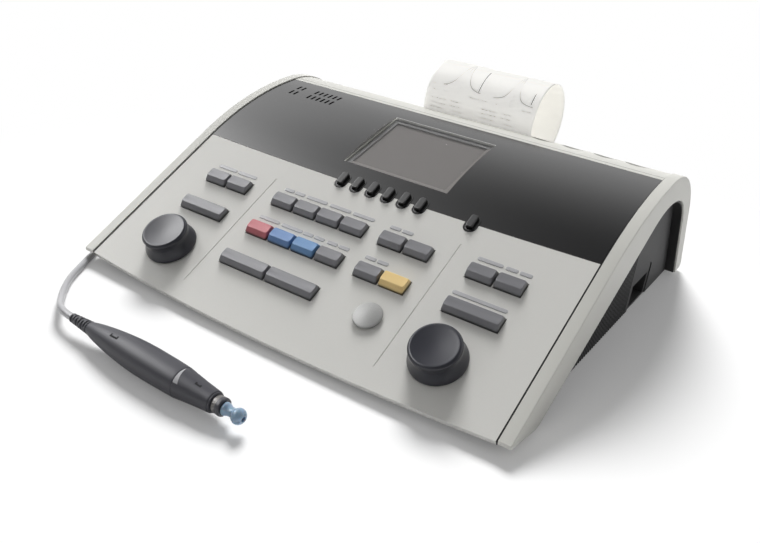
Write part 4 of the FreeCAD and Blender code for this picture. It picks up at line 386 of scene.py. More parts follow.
class AudiometerSettings(bpy.types.PropertyGroup):
    case: PointerProperty(type=CaseSettings, name="Case", description="Case colours and lamps")
    keys: PointerProperty(type=KeySettings, name="Keys", description="Key sizes and colours")
    knobs: PointerProperty(type=KnobSettings, name="Knobs", description="Knob sizes and colour")
    probe: PointerProperty(type=ProbeSettings, name="Probe", description="Probe and cord")
    paper: PointerProperty(type=PaperSettings, name="Paper", description="Paper strip")
    stage: PointerProperty(type=StageSettings, name="Stage", description="Light and rounding")


# ---------------------------------------------------------------- stage

# Where the camera stands, and its own three directions.
CAMERA_PLACE = Vector((0.3268, FRONT_Y - 0.3869, 0.3186))
CAMERA_RIGHT = Vector((0.82316, 0.55984, 0.09480))
CAMERA_DOWN = Vector((0.32216, -0.32301, -0.88987))
CAMERA_AHEAD = Vector((-0.46757, 0.76305, -0.44625))


class AUDIOMETER_OT_stage(bpy.types.Operator):
    """Add the camera, the pale floor, the room's light and the main lamp"""
    bl_idname = "audiometer.stage"
    bl_label = "Stage"

    def execute(self, context):
        sizes = context.scene.audiometer.stage
        scene = context.scene
        scene.view_settings.view_transform = "Standard"
        camera = bpy.data.objects.new("Camera", bpy.data.cameras.new("Camera"))
        turn = Matrix((CAMERA_RIGHT, -CAMERA_DOWN, -CAMERA_AHEAD)).transposed().to_4x4()
        camera.matrix_world = Matrix.Translation(CAMERA_PLACE) @ turn
        camera.data.lens, camera.data.sensor_width = 38.99, 36
        camera.data.clip_start, camera.data.clip_end = 0.02, 30
        scene.collection.objects.link(camera)
        scene.camera = camera

        reach = [-5.0, 5.0]
        grid = np.stack(np.meshgrid(reach, reach, [0.0], indexing="ij"), -1).reshape(2, 2, 3)
        floor = mesh_piece("floor", grid, wrap=False)
        floor.data.materials.append(self.floor_finish())
        self.room(scene, sizes.sky)
        self.lamp((-0.42, 0.65, 0.75), math.radians(24), sizes.lamp)
        return {"FINISHED"}

    @staticmethod
    def seen(f):
        """1 for the rays that the camera, a mirror or glass sends."""
        return highest(f.node("ShaderNodeLightPath", out=name)
                       for name in ("Is Camera Ray", "Is Glossy Ray", "Is Transmission Ray"))

    def floor_finish(self):
        """White floor that takes the shadows round the object and goes to plain white farther off."""
        f = Finish("pale_floor")
        x, y = f.places()[:2]
        far = 1 - (x * x + y * y).below(0.17, 0.1)
        matt = f.node("ShaderNodeBsdfDiffuse", (), {"Color": rgb(0.98)})
        white = f.node("ShaderNodeEmission", (), {"Color": (1, 1, 1, 1), "Strength": 1.0})
        share = self.seen(f) * (0.15 + far * 0.85)
        return f.node_out(f.node("ShaderNodeMixShader", (), {0: share, 1: matt, 2: white}))

    def room(self, scene, sky):
        """Even light for matt surfaces, white for the camera, and for mirrors a dim room, brighter low down
        at the back and brightest at a broad glow high on the left: the glow follows the cosine between
        the mirrored ray and its middle."""
        f = Finish("Room", "worlds")
        x, y, z = f.places("Generated")
        toward = x * -0.9 - y * 0.25 + z * 0.35
        glow = ((toward - 0.45).most(0.0) / 0.55).least(0.86) * (1 - z.below(0.42, 0.14))
        rear = z.below(0.8, 0.2) * (1 - y.below(0.25, 0.25))
        mirror = 0.3 + rear * 0.8 + glow * glow * (glow ** 4.0 * 20.0 + 3.0)
        glossy = f.node("ShaderNodeLightPath", out="Is Glossy Ray")
        camera = f.node("ShaderNodeLightPath", out="Is Camera Ray")
        light = glossy * mirror + (1 - glossy) * sky
        strength = camera + (1 - camera) * light
        back = f.node("ShaderNodeBackground", (), {"Color": (1, 1, 1, 1), "Strength": strength})
        scene.world = f.node_out(back, "ShaderNodeOutputWorld")

    def lamp(self, toward, spread, strength):
        """A broad, even light from one side; its size gives the shadows their soft edges."""
        light = bpy.data.lights.new("MainLamp", "SUN")
        light.angle, light.energy = spread, strength
        lamp = bpy.data.objects.new("MainLamp", light)
        lamp.rotation_euler = (-Vector(toward)).to_track_quat("-Z", "Y").to_euler()
        lamp.visible_glossy = False
        bpy.context.scene.collection.objects.link(lamp)


# ---------------------------------------------------------------- probe cord

# The cord's route in millimetres, y counted from the panel's front edge.
CORD_FRONT = [(-109.98, -77.17, 11.5), (-124.97, -76.52, 11.5), (-143, -63.5, 6), (-161, -47.5, 2.8),
              (-174.5, -31, 2.8), (-185, -12, 2.8), (-196.5, 9, 2.8), (-207.5, 29, 2.8), (-213, 60, 2.8),
              (-209, 98, 2.8), (-211, 138, 2.8), (-212.2, 172, 2.8), (-212.2, 205, 2.8)]
CORD_REAR = [(-212.2, 265, 8.4), (-212.2, 287, 8.4), (-215.7, 311, 18.4)]


def cord_turns():
    """The put-away turns as points of the cord's line: the radius and height follow smooth steps
    of the turn angle, from the outer lower turn to the inner ones and back out on top."""
    a = np.arange(1, 56) / 56 * 8 * np.pi

    def step(start, end):
        t = np.clip((a / np.pi - start) / (end - start), 0, 1)
        return t * t * (3 - 2 * t)

    radius = 37.9 - 5.7 * step(1.66, 1.98) + 5.7 * step(5.62, 5.98) + 0.25 * np.sin(a * 0.37)
    height = 2.8 + 5.6 * step(3.5, 3.86)
    grow = 1 / np.cos(np.pi / 14)
    return np.stack([-250 + radius * grow * np.cos(a), 235 + radius * grow * np.sin(a), height], -1)


class AUDIOMETER_OT_cord(bpy.types.Operator):
    """Add the probe's cord: one smooth line from the probe to its plug, with the put-away turns"""
    bl_idname = "audiometer.cord"
    bl_label = "Probe Cord"

    def execute(self, context):
        sizes = context.scene.audiometer.probe
        # where the cord ends: the mouth of the plug's sleeve, which it comes to from the left
        sleeve = np.array([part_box("probe_plug")[0].x / MM, 368.24, 38.27])
        rear = np.vstack([CORD_REAR, sleeve + (-45, -15.5, -7.5), sleeve + (-24, 0, 0), sleeve])
        route = np.vstack([CORD_FRONT, cord_turns(), rear])
        route[:, 1] += FRONT_Y / MM
        route *= MM
        curve = bpy.data.curves.new("probe_cord", "CURVE")
        curve.dimensions = "3D"
        line = curve.splines.new("NURBS")
        line.points.add(len(route) - 1)
        line.points.foreach_set("co", np.hstack([route, np.ones((len(route), 1))]).ravel())
        line.order_u, line.use_endpoint_u = 3, True
        line.resolution_u = 6
        curve.bevel_depth, curve.bevel_resolution = sizes.cord_diameter / 2, 4
        curve.use_fill_caps = True
        cord = bpy.data.objects.new("probe_cord", curve)
        context.scene.collection.objects.link(cord)
        curve.materials.append(moulded("cord_jacket", sizes.cord, 0.32, 0.0008, 0.05, 0.05, specular=0.6))
        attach(cord, "case")
        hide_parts("probe_cord_front", "probe_cord_coil", "probe_cord_rear")
        return {"FINISHED"}


# ---------------------------------------------------------------- case finishes

# The flat screen pane: its middle up the slope and off the deck, and its own slope.
SCREEN_MIDDLE = (210.4 * MM, -10.3 * MM)
SCREEN_SLOPE = SLOPE - math.radians(11.5)
SCREEN_HALF = (50.03 * MM, 39.6 * MM)       # half the opening across and along
PANEL_EDGE = 184.3 * MM                     # from here out, panel and window are painted dark as painted shade of the gap beside the rails
COVER_JOINT = 5.2 * MM                      # from the window's rear edge back to the joint line
# The side vents: their first groove and their middle from the front edge, half their length, their pitch.
VENT_START, VENT_MIDDLE, VENT_HALF, VENT_PITCH = 130.1 * MM, 181.9 * MM, 54 * MM, 4 * MM


class AUDIOMETER_OT_case(bpy.types.Operator):
    """Give the case's own parts their finishes"""
    bl_idname = "audiometer.case"
    bl_label = "Case Finishes"

    def execute(self, context):
        s = context.scene.audiometer.case
        cover = moulded("satin_white_plastic", s.rails, 0.46, 0.0007, 0.012, 0.06)
        black = moulded("black_frame_plastic", (0.13, 0.13, 0.14), 0.5, 0.0006, 0.05, 0.08)
        finishes = {
            ("side_rail_left", "side_rail_right", "printer_lid"): cover,
            ("rear_cover",): self.cover_plastic(s.rails),
            ("control_panel",): self.panel_paint(s.panel),
            ("display_window",): self.window_gloss(s.window),
            ("screen_lens",): self.screen_glass(),
            ("lcd_module",): self.display_face(),
            ("base_tray",): self.tray_grain(s.tray),
            ("arch_liners",): moulded("black_arch_lining", s.liner, 0.55, 0.0006, 0.05, 0.12),
            ("rubber_feet",): moulded("foot_rubber", 0.07, 0.85, 0.0004, 0.08, 0.3),
            ("case_screws",): self.metal("plated_screws", (0.62, 0.62, 0.63), 0.32),
            ("probe_plug", "rear_sockets", "power_rocker"): black,
            ("printer_frame",): moulded("printer_chassis", (0.30, 0.31, 0.33), 0.5, 0.0006, 0.05, 0.1),
            ("platen_roller",): moulded("platen_rubber", 0.10, 0.8, 0.0004, 0.06, 0.25),
            ("paper_roll",): self.wound_paper(),
            ("loudspeaker",): self.speaker_cone(),
            ("air_pump",): self.metal("pump_housing", (0.55, 0.56, 0.58), 0.4),
            ("main_board", "keypad_board"): self.circuit_board(),
        }
        for names, finish in finishes.items():
            for name in names:
                node = frame["nodes"][name]
                node.data.materials.clear()
                node.data.materials.append(finish)
                creased(node)
        return {"FINISHED"}

    def cover_plastic(self, colour):
        """The rails' satin plastic, with a fine joint line across it behind the window."""
        f = Finish("satin_white_cover")
        colour = rgb(colour)
        y, z = f.places()[1:]
        line = float(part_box("display_window")[1].y) + COVER_JOINT
        joint = abs(y - line).below(0.35 * MM, 0.2 * MM) * (1 - z.below(0.09, 0.001))
        fine = f.noise(0.0007, 3.0)
        return f.surface(Base_Color=f.mix(joint, f.drift(colour, 0.012), shade(colour, 0.3)),
                         Roughness=0.42 + fine * 0.08, Normal=f.bump(fine * 0.1 - joint, 0.3, 0.0003))

    def tray_grain(self, colour):
        """Grained plastic; on the side vents, painted shade in the upright grooves and painted light on the
        paler lands between them.
        """
        f = Finish("grained_grey_tray")
        colour = rgb(colour)
        x, y = f.places()[:2]
        fine = f.noise(0.0005, 3.0)
        phase = ((y - (FRONT_Y + VENT_START)) / VENT_PITCH).wrapped(0, 1)
        vents = abs(y - (FRONT_Y + VENT_MIDDLE)).below(VENT_HALF, 0.1 * MM)
        vents = vents * (1 - abs(x).below(0.17, 0.001))
        # painted light and shade: the grooves are darkened to a fifth and the lands between them lightened
        land_painted_light = abs(phase - 0.25).below(0.16, 0.08)
        ribs_painted_light_shade = f.tones(land_painted_light, colour, 0.2, 1.9)
        tint = f.mix(vents, f.drift(colour, 0.04), ribs_painted_light_shade)
        return f.surface(Base_Color=tint, Roughness=0.58 + fine * 0.08, Normal=f.bump(fine, 0.2, 0.0002))

    def panel_paint(self, colour):
        """Satin paint with fine metal flakes, and painted shade: the edges beside the rails are painted dark
        for the gap's shade.
        """
        f = Finish("flake_grey_paint")
        colour = rgb(colour)
        flakes = f.noise(0.00035, 1.0)
        slow = f.noise(0.13, 2.0)
        tint = f.tones(flakes, colour, 0.93, 1.05)
        tint = f.mix(slow * 0.25, tint, shade(colour, 0.92))
        x = f.places()[0]
        # painted shade: beyond this edge the panel is painted near-black for the shade of the gap beside the
        # rails
        tint = f.mix(1 - abs(x).below(PANEL_EDGE, 0.1 * MM), tint, rgb(0.05))
        return f.surface(Base_Color=tint, Specular_IOR_Level=0.35, Roughness=0.4 + flakes * 0.1,
                         Normal=f.bump(flakes, 0.05, 0.0001))

    def screen_places(self, f):
        """Distances from the flat pane's middle: across, and up along the pane's own slope."""
        x, y, z = f.places()
        middle_y, middle_z = on_deck(0, *SCREEN_MIDDLE)[1:].tolist()
        return x, (y - middle_y) * math.cos(SCREEN_SLOPE) + (z - middle_z) * math.sin(SCREEN_SLOPE)

    def window_gloss(self, colour):
        """Deep gloss with a faint orange-peel and fine dust; the walls round the screen are painted paler as
        painted light, the upper wall glows as painted light through the clear edge, and the sides by the
        rails are painted dark as painted shade.
        """
        f = Finish("gloss_black_window")
        across, along = self.screen_places(f)
        # painted light: the walls round the screen opening are painted a pale grey where they stand in shade
        painted_light_walls = abs(across).below(SCREEN_HALF[0], 0.02 * MM)
        painted_light_walls = painted_light_walls * abs(along - 0.8 * MM).below(SCREEN_HALF[1], 0.1 * MM)
        peel = f.noise(0.004, 1.0)
        specks = f.noise(0.0007, 1.0).below(0.28, 0.02) * 0.06
        tint = f.mix(specks, rgb(colour), rgb(0.5))
        tint = f.mix(painted_light_walls, tint, rgb((0.6, 0.6, 0.59)))
        # painted shade: beyond the panel's edge the window is painted near-black for the shade of the gap
        # beside the rails
        tint = f.mix(1 - abs(across).below(PANEL_EDGE, 0.1 * MM), tint, rgb(0.01))
        # painted light: the upper wall also glows, for light through the clear edge
        lit = painted_light_walls * (1 - along.below(39 * MM, 0.1 * MM))
        return f.surface(Base_Color=tint, Roughness=0.14 + specks, Specular_IOR_Level=0.5, Coat_Weight=0.3,
                         Coat_Roughness=0.05, Normal=f.bump(peel, 0.015, 0.0002),
                         Emission_Color=f.mix(lit, rgb(0), rgb((0.42, 0.42, 0.41))),
                         Emission_Strength=1.0)

    def screen_glass(self):
        """Clear pane with a very slight smear, and a painted highlight along its left edge."""
        f = Finish("screen_pane")
        # painted highlight: the pane's left edge is painted near-white and made more opaque
        pane_edge_highlight = self.screen_places(f)[0].below(-49.0 * MM, 0.1 * MM)
        smear = f.noise(0.03, 3.0)
        return f.surface(Base_Color=f.mix(pane_edge_highlight, rgb(0.30), rgb((1.0, 1.0, 0.97))),
                         Roughness=0.1 + smear * 0.06, Alpha=0.2 + pane_edge_highlight * 0.6)

    def display_face(self):
        """Reflective display: a warm grey field of fine cells, and the grey frame round it."""
        f = Finish("display_face")
        across, along = self.screen_places(f)
        cells = f.noise(0.0004, 1.0)
        field = f.mix(cells, rgb((0.64, 0.622, 0.612)), rgb((0.68, 0.662, 0.652)))
        inside = (-across).below(45 * MM, 0.1 * MM) * along.below(34.6 * MM, 0.1 * MM)
        tint = f.mix(inside, rgb(0.66), field)
        return f.surface(Base_Color=tint, Roughness=0.42, Specular_IOR_Level=0.3)

    def metal(self, name, colour, roughness):
        f = Finish(name)
        brushed = f.noise(0.0015, 3.0)
        return f.surface(Base_Color=f.mix(brushed, shade(rgb(colour), 0.9), rgb(colour)), Metallic=1.0,
                         Roughness=roughness - 0.05 + brushed * 0.1, Normal=f.bump(brushed, 0.05, 0.0001))

    def wound_paper(self):
        """Layers of paper seen on the roll's ends as fine rings."""
        f = Finish("wound_paper")
        y, z = f.places()[1:]
        low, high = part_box("paper_roll")
        dy, dz = y - (low.y + high.y) / 2, z - (low.z + high.z) / 2
        ring = ((dy * dy + dz * dz).root() * 4400.0).sine() * 0.5 + 0.5
        return f.surface(Base_Color=f.mix(ring, rgb((0.86, 0.85, 0.82)), rgb((0.93, 0.92, 0.90))),
                         Roughness=0.8)

    def speaker_cone(self):
        """Black cone paper with fine fibres."""
        f = Finish("speaker_cone")
        fibres = f.noise(0.0012, 6.0, 0.7)
        return f.surface(Base_Color=f.mix(fibres, rgb(0.05), rgb((0.16, 0.16, 0.15))),
                         Roughness=0.8, Normal=f.bump(fibres, 0.3, 0.0003))

    def circuit_board(self):
        """Green solder resist with paler copper tracks under it."""
        f = Finish("circuit_board")
        wave = abs((f.noise(0.006) * 60.0).sine()).below(0.25, 0.05)
        return f.surface(Base_Color=f.mix(wave, rgb((0.05, 0.27, 0.15)), rgb((0.16, 0.42, 0.24))),
                         Roughness=0.35, Normal=f.bump(wave, 0.1, 0.0001))


# ---------------------------------------------------------------- keys

# In millimetres: the first key of each column across, and the rows up the slope.
COLUMN = {"left": -139.0, "mid": -66.6, "inner": 38.4, "right": 114.2}
ROW = {"top": 110.4, "mid": 77.2, "low": 44.0}
KEY_ROWS = (  # column, row, keys wide, and the names from the column's first place on
    ("left", "top", 1, "key_left_1 key_left_2"),
    ("left", "mid", 2, "bar_left"),
    ("mid", "top", 1, "key_upper_1 key_upper_2 key_upper_3 key_upper_4"),
    ("mid", "mid", 1, "key_red key_blue key_light_blue key_middle_4"),
    ("mid", "low", 2, "bar_middle_1 bar_middle_2"),
    ("inner", "top", 1, "key_inner_1 key_inner_2"),
    ("inner", "mid", 1, "key_inner_3 key_yellow"),
    ("right", "top", 1, "key_right_1 key_right_2"),
    ("right", "mid", 2, "bar_right"),
)
KEY_COLOURS = ("grey", "red", "blue", "light_blue", "yellow")
SOFT_ROW = 151.9
SOFT_COLUMNS = (-36.5, -21.5, -6.5, 8.5, 23.5, 38.5, 84.0)
DOME_PLACE = (60.2 * MM, 44 * MM)


def bevelled_cap(name, x, s, width, k):
    """A key cap as rings of rounded oblongs: the skirt stands up, then each ring runs in by a share e of the
    bevel while it rises along a straight line with rounded ends; the top is nearly flat. The front runs in
    farther than the rear, so that the rings also move up the slope."""
    e = np.array([0.25, 0, 0, 0.02, 0.07, 0.16, 0.84, 0.93, 1.02, 1.12, 1.3, 1.7])
    n = np.array([-1.2, -1.0, 1.6, 1.8, 1.98, 2.2, 4.48, 4.74, 4.91, 4.98, 5.0, 4.97]) / 5 * k.height
    lean = 1.1 * MM
    half = width / 2 - e * 0.5 * MM
    front = k.depth / 2 - e * k.bevel
    across, along = oblong(half, front, np.clip(k.corner * (1 + 0.15 * e), 0, front * 0.9))
    shift = (np.clip(e, 0, 1) * lean)[:, None]
    rings = on_deck(x + across, s + along + shift, n[:, None])
    return mesh_piece(name, rings, on_deck(x, s, n[0]), on_deck(x, s + lean, n[-1] - 0.03 * MM))


def skirt_shaded_key_plastic(name, colour):
    """Satin key plastic with painted shade on the skirt: darker low down, where the key goes down into the
    panel.
    """
    f = Finish(name)
    colour = rgb(colour)
    y, z = f.places()[1:]
    height = (z - FRONT_Z) * math.cos(SLOPE) - (y - FRONT_Y) * math.sin(SLOPE)
    fine = f.noise(0.0005, 3.0)
    # painted shade: within about 2 mm of the panel the skirt is darkened to a fifth of the key's colour
    tint = f.mix(height.below(1.9 * MM, 1.1 * MM), f.drift(colour, 0.03), shade(colour, 0.2))
    return f.surface(Base_Color=tint, Roughness=0.4 + fine * 0.08, Coat_Weight=0.4, Coat_Roughness=0.3,
                     Specular_IOR_Level=0.6, Normal=f.bump(fine, 0.06, 0.0002))


class AUDIOMETER_OT_keys(bpy.types.Operator):
    """Add the bevelled key caps, each riding on its own key"""
    bl_idname = "audiometer.keys"
    bl_label = "Key Caps"

    def execute(self, context):
        k = context.scene.audiometer.keys
        finishes = {c: skirt_shaded_key_plastic("key_plastic_" + c, getattr(k, c)) for c in KEY_COLOURS}
        for column, row, wide, names in KEY_ROWS:
            more = wide - 1
            for number, name in enumerate(names.split()):
                # a key that is named after a colour has it, and the others are grey
                colour = name[4:] if name[4:] in KEY_COLOURS else "grey"
                x = COLUMN[column] * MM + (number * wide + more / 2) * k.pitch
                cap = bevelled_cap("cap_" + name, x, ROW[row] * MM, k.width + more * k.pitch, k)
                cap.data.materials.append(finishes[colour])
                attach(cap, name)
                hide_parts(name)
        return {"FINISHED"}


class AUDIOMETER_OT_soft_keys(bpy.types.Operator):
    """Add the capsule keys under the screen"""
    bl_idname = "audiometer.soft_keys"
    bl_label = "Soft Keys"

    def execute(self, context):
        k = context.scene.audiometer.keys
        finish = moulded("soft_key_rubber", k.soft, 0.42, 0.0004, 0.05, 0.08, specular=0.7)
        rim_finish = moulded("soft_key_rim_plastic", k.soft, 0.2, 0.0006, 0.03, 0.03, coat=0.5)
        # a capsule's rings: the wall stands up and rounds into a crowned top
        e = np.array([0, 0, 0.05, 0.18, 0.4, 0.7, 1.4, 2.2])
        n = np.array([-2.0, 2.9, 3.1, 3.27, 3.36, 3.4, 3.42, 3.42])
        outline = oblong((3.0 - e) * MM, (6.0 - e) * MM, np.clip(1.7 - e * 0.6, 0.3, None) * MM)
        for number, column in enumerate(SOFT_COLUMNS, 1):
            name = "soft_key_%d" % number
            self.rim(name, column * MM, rim_finish)
            key = raised("rubber_" + name, column * MM, SOFT_ROW * MM, outline, n * MM)
            key.data.materials.append(finish)
            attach(key, name)
            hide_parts(name)
        return {"FINISHED"}

    def rim(self, name, x, finish):
        """Low rounded rim round one key: its outlines run up the outside, over the top, down the inside."""
        e = np.array([0, 0, 0.12, 0.5, 0.62, 0.62])
        n = np.array([-0.6, 0.25, 0.42, 0.42, 0.3, -0.6])
        across, along = oblong((3.85 - e) * MM, (7.1 - e) * MM, (3.3 - e) * MM)
        rings = on_deck(x + across, (SOFT_ROW - 0.5) * MM + along, n[:, None] * MM)
        rim = mesh_piece("rim_" + name, rings, looped=True)
        rim.data.materials.append(finish)
        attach(rim, "case")


class AUDIOMETER_OT_dome(bpy.types.Operator):
    """Add the round satin key with its low crown"""
    bl_idname = "audiometer.dome"
    bl_label = "Dome Key"

    def execute(self, context):
        around = context.scene.audiometer.stage.samples_around
        line = through([(-3.0, 9.8), (1.4, 9.8), (1.52, 10.9), (1.75, 11.16), (2.3, 11.17), (2.72, 10.95),
                        (3.1, 10.3), (3.6, 8.6), (4.2, 6.0), (4.62, 3.4), (4.84, 1.2)], 4) * MM
        rings = turned(on_deck(*DOME_PLACE, 0.0), OFF_DECK, (1, 0, 0), line, around)
        foot, crown = on_deck(*DOME_PLACE, line[0, 0]), on_deck(*DOME_PLACE, 4.9 * MM)
        dome = mesh_piece("dome_cap", rings, foot, crown)
        f = Finish("satin_aluminium")
        spin = f.noise(0.0008, 2.0)
        dome.data.materials.append(f.surface(
            Base_Color=f.mix(spin, rgb((0.60, 0.60, 0.595)), rgb((0.68, 0.68, 0.675))), Metallic=0.35,
            Roughness=0.5 + spin * 0.1, Normal=f.bump(spin, 0.03, 0.0001)))
        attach(dome, "dome_key")
        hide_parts("dome_key")
        return {"FINISHED"}


LAMPS = (  # up the slope, length, then each place across with its number of lenses side by side
    (123.6, 20.7, ((-140, 1), (-118, 1), (-66.1, 2), (-43.1, 1), (-19.6, 1), (3, 1), (38.3, 2), (114.4, 1),
                   (137.1, 2))),
    (90.2, 20.7, ((-67, 1), (-43.9, 1), (-22.1, 2), (1.5, 2), (37.3, 2))),
    (89.3, 43.5, ((124.2, 1),)),
)
LAMP_GAP = 1.2


class AUDIOMETER_OT_lamps(bpy.types.Operator):
    """Add the lamp lenses over the keys"""
    bl_idname = "audiometer.lamps"
    bl_label = "Lamp Lenses"

    def execute(self, context):
        c = context.scene.audiometer.case
        f = Finish("frosted_lamp_lens")
        frost = f.noise(0.0008, 2.0)
        colour = rgb(c.lamp)
        finish = f.surface(Base_Color=f.tones(frost, colour, 0.92, 1.06),
                           Roughness=0.35, Coat_Weight=0.2, Normal=f.bump(frost, 0.1, 0.0001))
        e = np.array([0.0, 0.0, 0.08, 0.25, 0.6])
        n = np.array([-0.3, 0.12, 0.25, 0.33, 0.36])
        groups = [(x, s, length, count) for s, length, row in LAMPS for x, count in row]
        for number, (x, s, length, count) in enumerate(groups):
            each = (length - LAMP_GAP * (count - 1)) / count
            corner = 1.65 - e if count == 1 else 1.25 - e * 0.9
            outline = oblong((each / 2 - e) * MM, c.lamp_width / 2 - e * MM, corner * MM)
            for part in range(count):
                middle = x + (part - (count - 1) / 2) * (each + LAMP_GAP)
                lens = raised("lamp_lens_%02d_%d" % (number, part), middle * MM, s * MM, outline, n * MM)
                lens.data.materials.append(finish)
                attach(lens, "case")
        return {"FINISHED"}


# ---------------------------------------------------------------- knobs

KNOB_COLUMNS = (("left", -126.4), ("right", 123.1))


class AUDIOMETER_OT_knobs(bpy.types.Operator):
    """Add the two waisted knobs with dished tops"""
    bl_idname = "audiometer.knobs"
    bl_label = "Knobs"

    def execute(self, context):
        k = context.scene.audiometer.knobs
        around = context.scene.audiometer.stage.samples_around * 2
        r, w, t, h = (v / MM for v in (k.radius, k.waist, k.top, k.height))
        # the heights of the rim and of the dish's middle
        rim, middle = h - 0.1, h - 1.6
        wall = through([(0.8, r - 1.0), (1.3, r - 0.15), (2.4, r - 0.02), (3.9, r - 0.4), (7.4, r - 1.75),
                        (h * 0.62, w + 0.02), (h - 4.6, w + 0.1), (h - 3.2, t - 0.12), (h - 2.3, t - 0.02),
                        (h - 1.4, t - 0.32), (h - 0.55, t - 1.1), (rim, t - 2.0)], 5)
        dish = through([(rim, t - 2.0), (h - 0.16, t - 2.9), (h - 0.55, t - 5.5), (h - 1.2, t - 11),
                        (h - 1.55, 3.0), (middle, 0.4)], 4)[1:]
        line = np.vstack([wall, dish]) * MM
        finish = moulded("knob_plastic", k.colour, 0.32, 0.0005, 0.05, 0.08)
        for side, column in KNOB_COLUMNS:
            centre = on_deck(column * MM, KNOB_ROW, 0.0)
            rings = turned(centre, OFF_DECK, (1, 0, 0), line, around)
            foot, top = centre + OFF_DECK * 1.2 * MM, centre + OFF_DECK * middle * MM
            knob = mesh_piece("knob_%s_cap" % side, rings, foot, top)
            knob.data.materials.append(finish)
            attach(knob, "knob_" + side)
            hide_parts("knob_" + side)
        return {"FINISHED"}


# ---------------------------------------------------------------- probe

PROBE_AXIS = JOINTS["ear_tip_pull"]["axis"]
PROBE_TAIL = np.array([-0.091, FRONT_Y - 0.078, 0.0115])


def probe_piece(name, line, around, pole_start, pole_end):
    """A piece turned round the probe's axis, with a map of distance along it and angle round it."""
    rings = turned(PROBE_TAIL, PROBE_AXIS, (0, 0, 1), line, around)
    a = np.arange(around) * 2 * np.pi / around
    chart = np.stack(np.broadcast_arrays(line[:, 0][:, None], a[None, :]), -1)
    start, end = (PROBE_TAIL + np.array(PROBE_AXIS) * pole * MM for pole in (pole_start, pole_end))
    return mesh_piece(name, rings, start, end, uv=chart)


def shell_finish(name, colour, marks):
    """Soft-touch shell: fine grain, a lengthwise parting line and the catch marks of its two halves.
    A mark is the border of a small tab, open on one side: the distance from the tab's outline, stopped at the
    open side. A painted highlight, a pale band for light caught along the nose's seam, starts at the top and
    widens over about 60 degrees."""
    f = Finish(name)
    colour = rgb(colour)
    along, angle = f.surface_map()
    along = along / MM
    fine = f.noise(0.0005, 3.0)
    parting = abs((angle - math.radians(112)).wrapped(-math.pi, math.pi)).below(0.028, 0.012)
    groove = parting * 0.8
    for x, degrees, length, width in marks:
        u = abs(along - x) - length / 2
        v = (angle - math.radians(degrees)).wrapped(-math.pi, math.pi) * 10.5
        side = abs(v) - width / 2
        edge = abs(u.most(side))
        closed = 1 - v.below(-width * 0.1, 0.1)
        groove = groove.most(edge.below(0.7, 0.16) * closed)
    turn = angle.wrapped(-math.pi, math.pi)
    # painted highlight: a pale grey band along the nose's seam, standing for light caught there
    seam_highlight = (along - 95.4 - (turn + 0.2).most(0) * 3.0).below(0, 0.2) * turn.below(1.0, 0.04)
    seam_highlight = seam_highlight * (1 - along.below(95, 0.05)) * (1 - turn.below(-0.2, 0.05))
    tint = f.mix(seam_highlight, f.drift(colour, 0.04, 0.05), rgb((0.72, 0.72, 0.73)))
    return f.surface(Base_Color=f.mix(groove, tint, shade(colour, 0.1)),
                     Roughness=0.4 + fine * 0.08 + groove * 0.4,
                     Specular_IOR_Level=0.5, Normal=f.bump(fine * 0.1 - groove, 0.35, 0.0003))


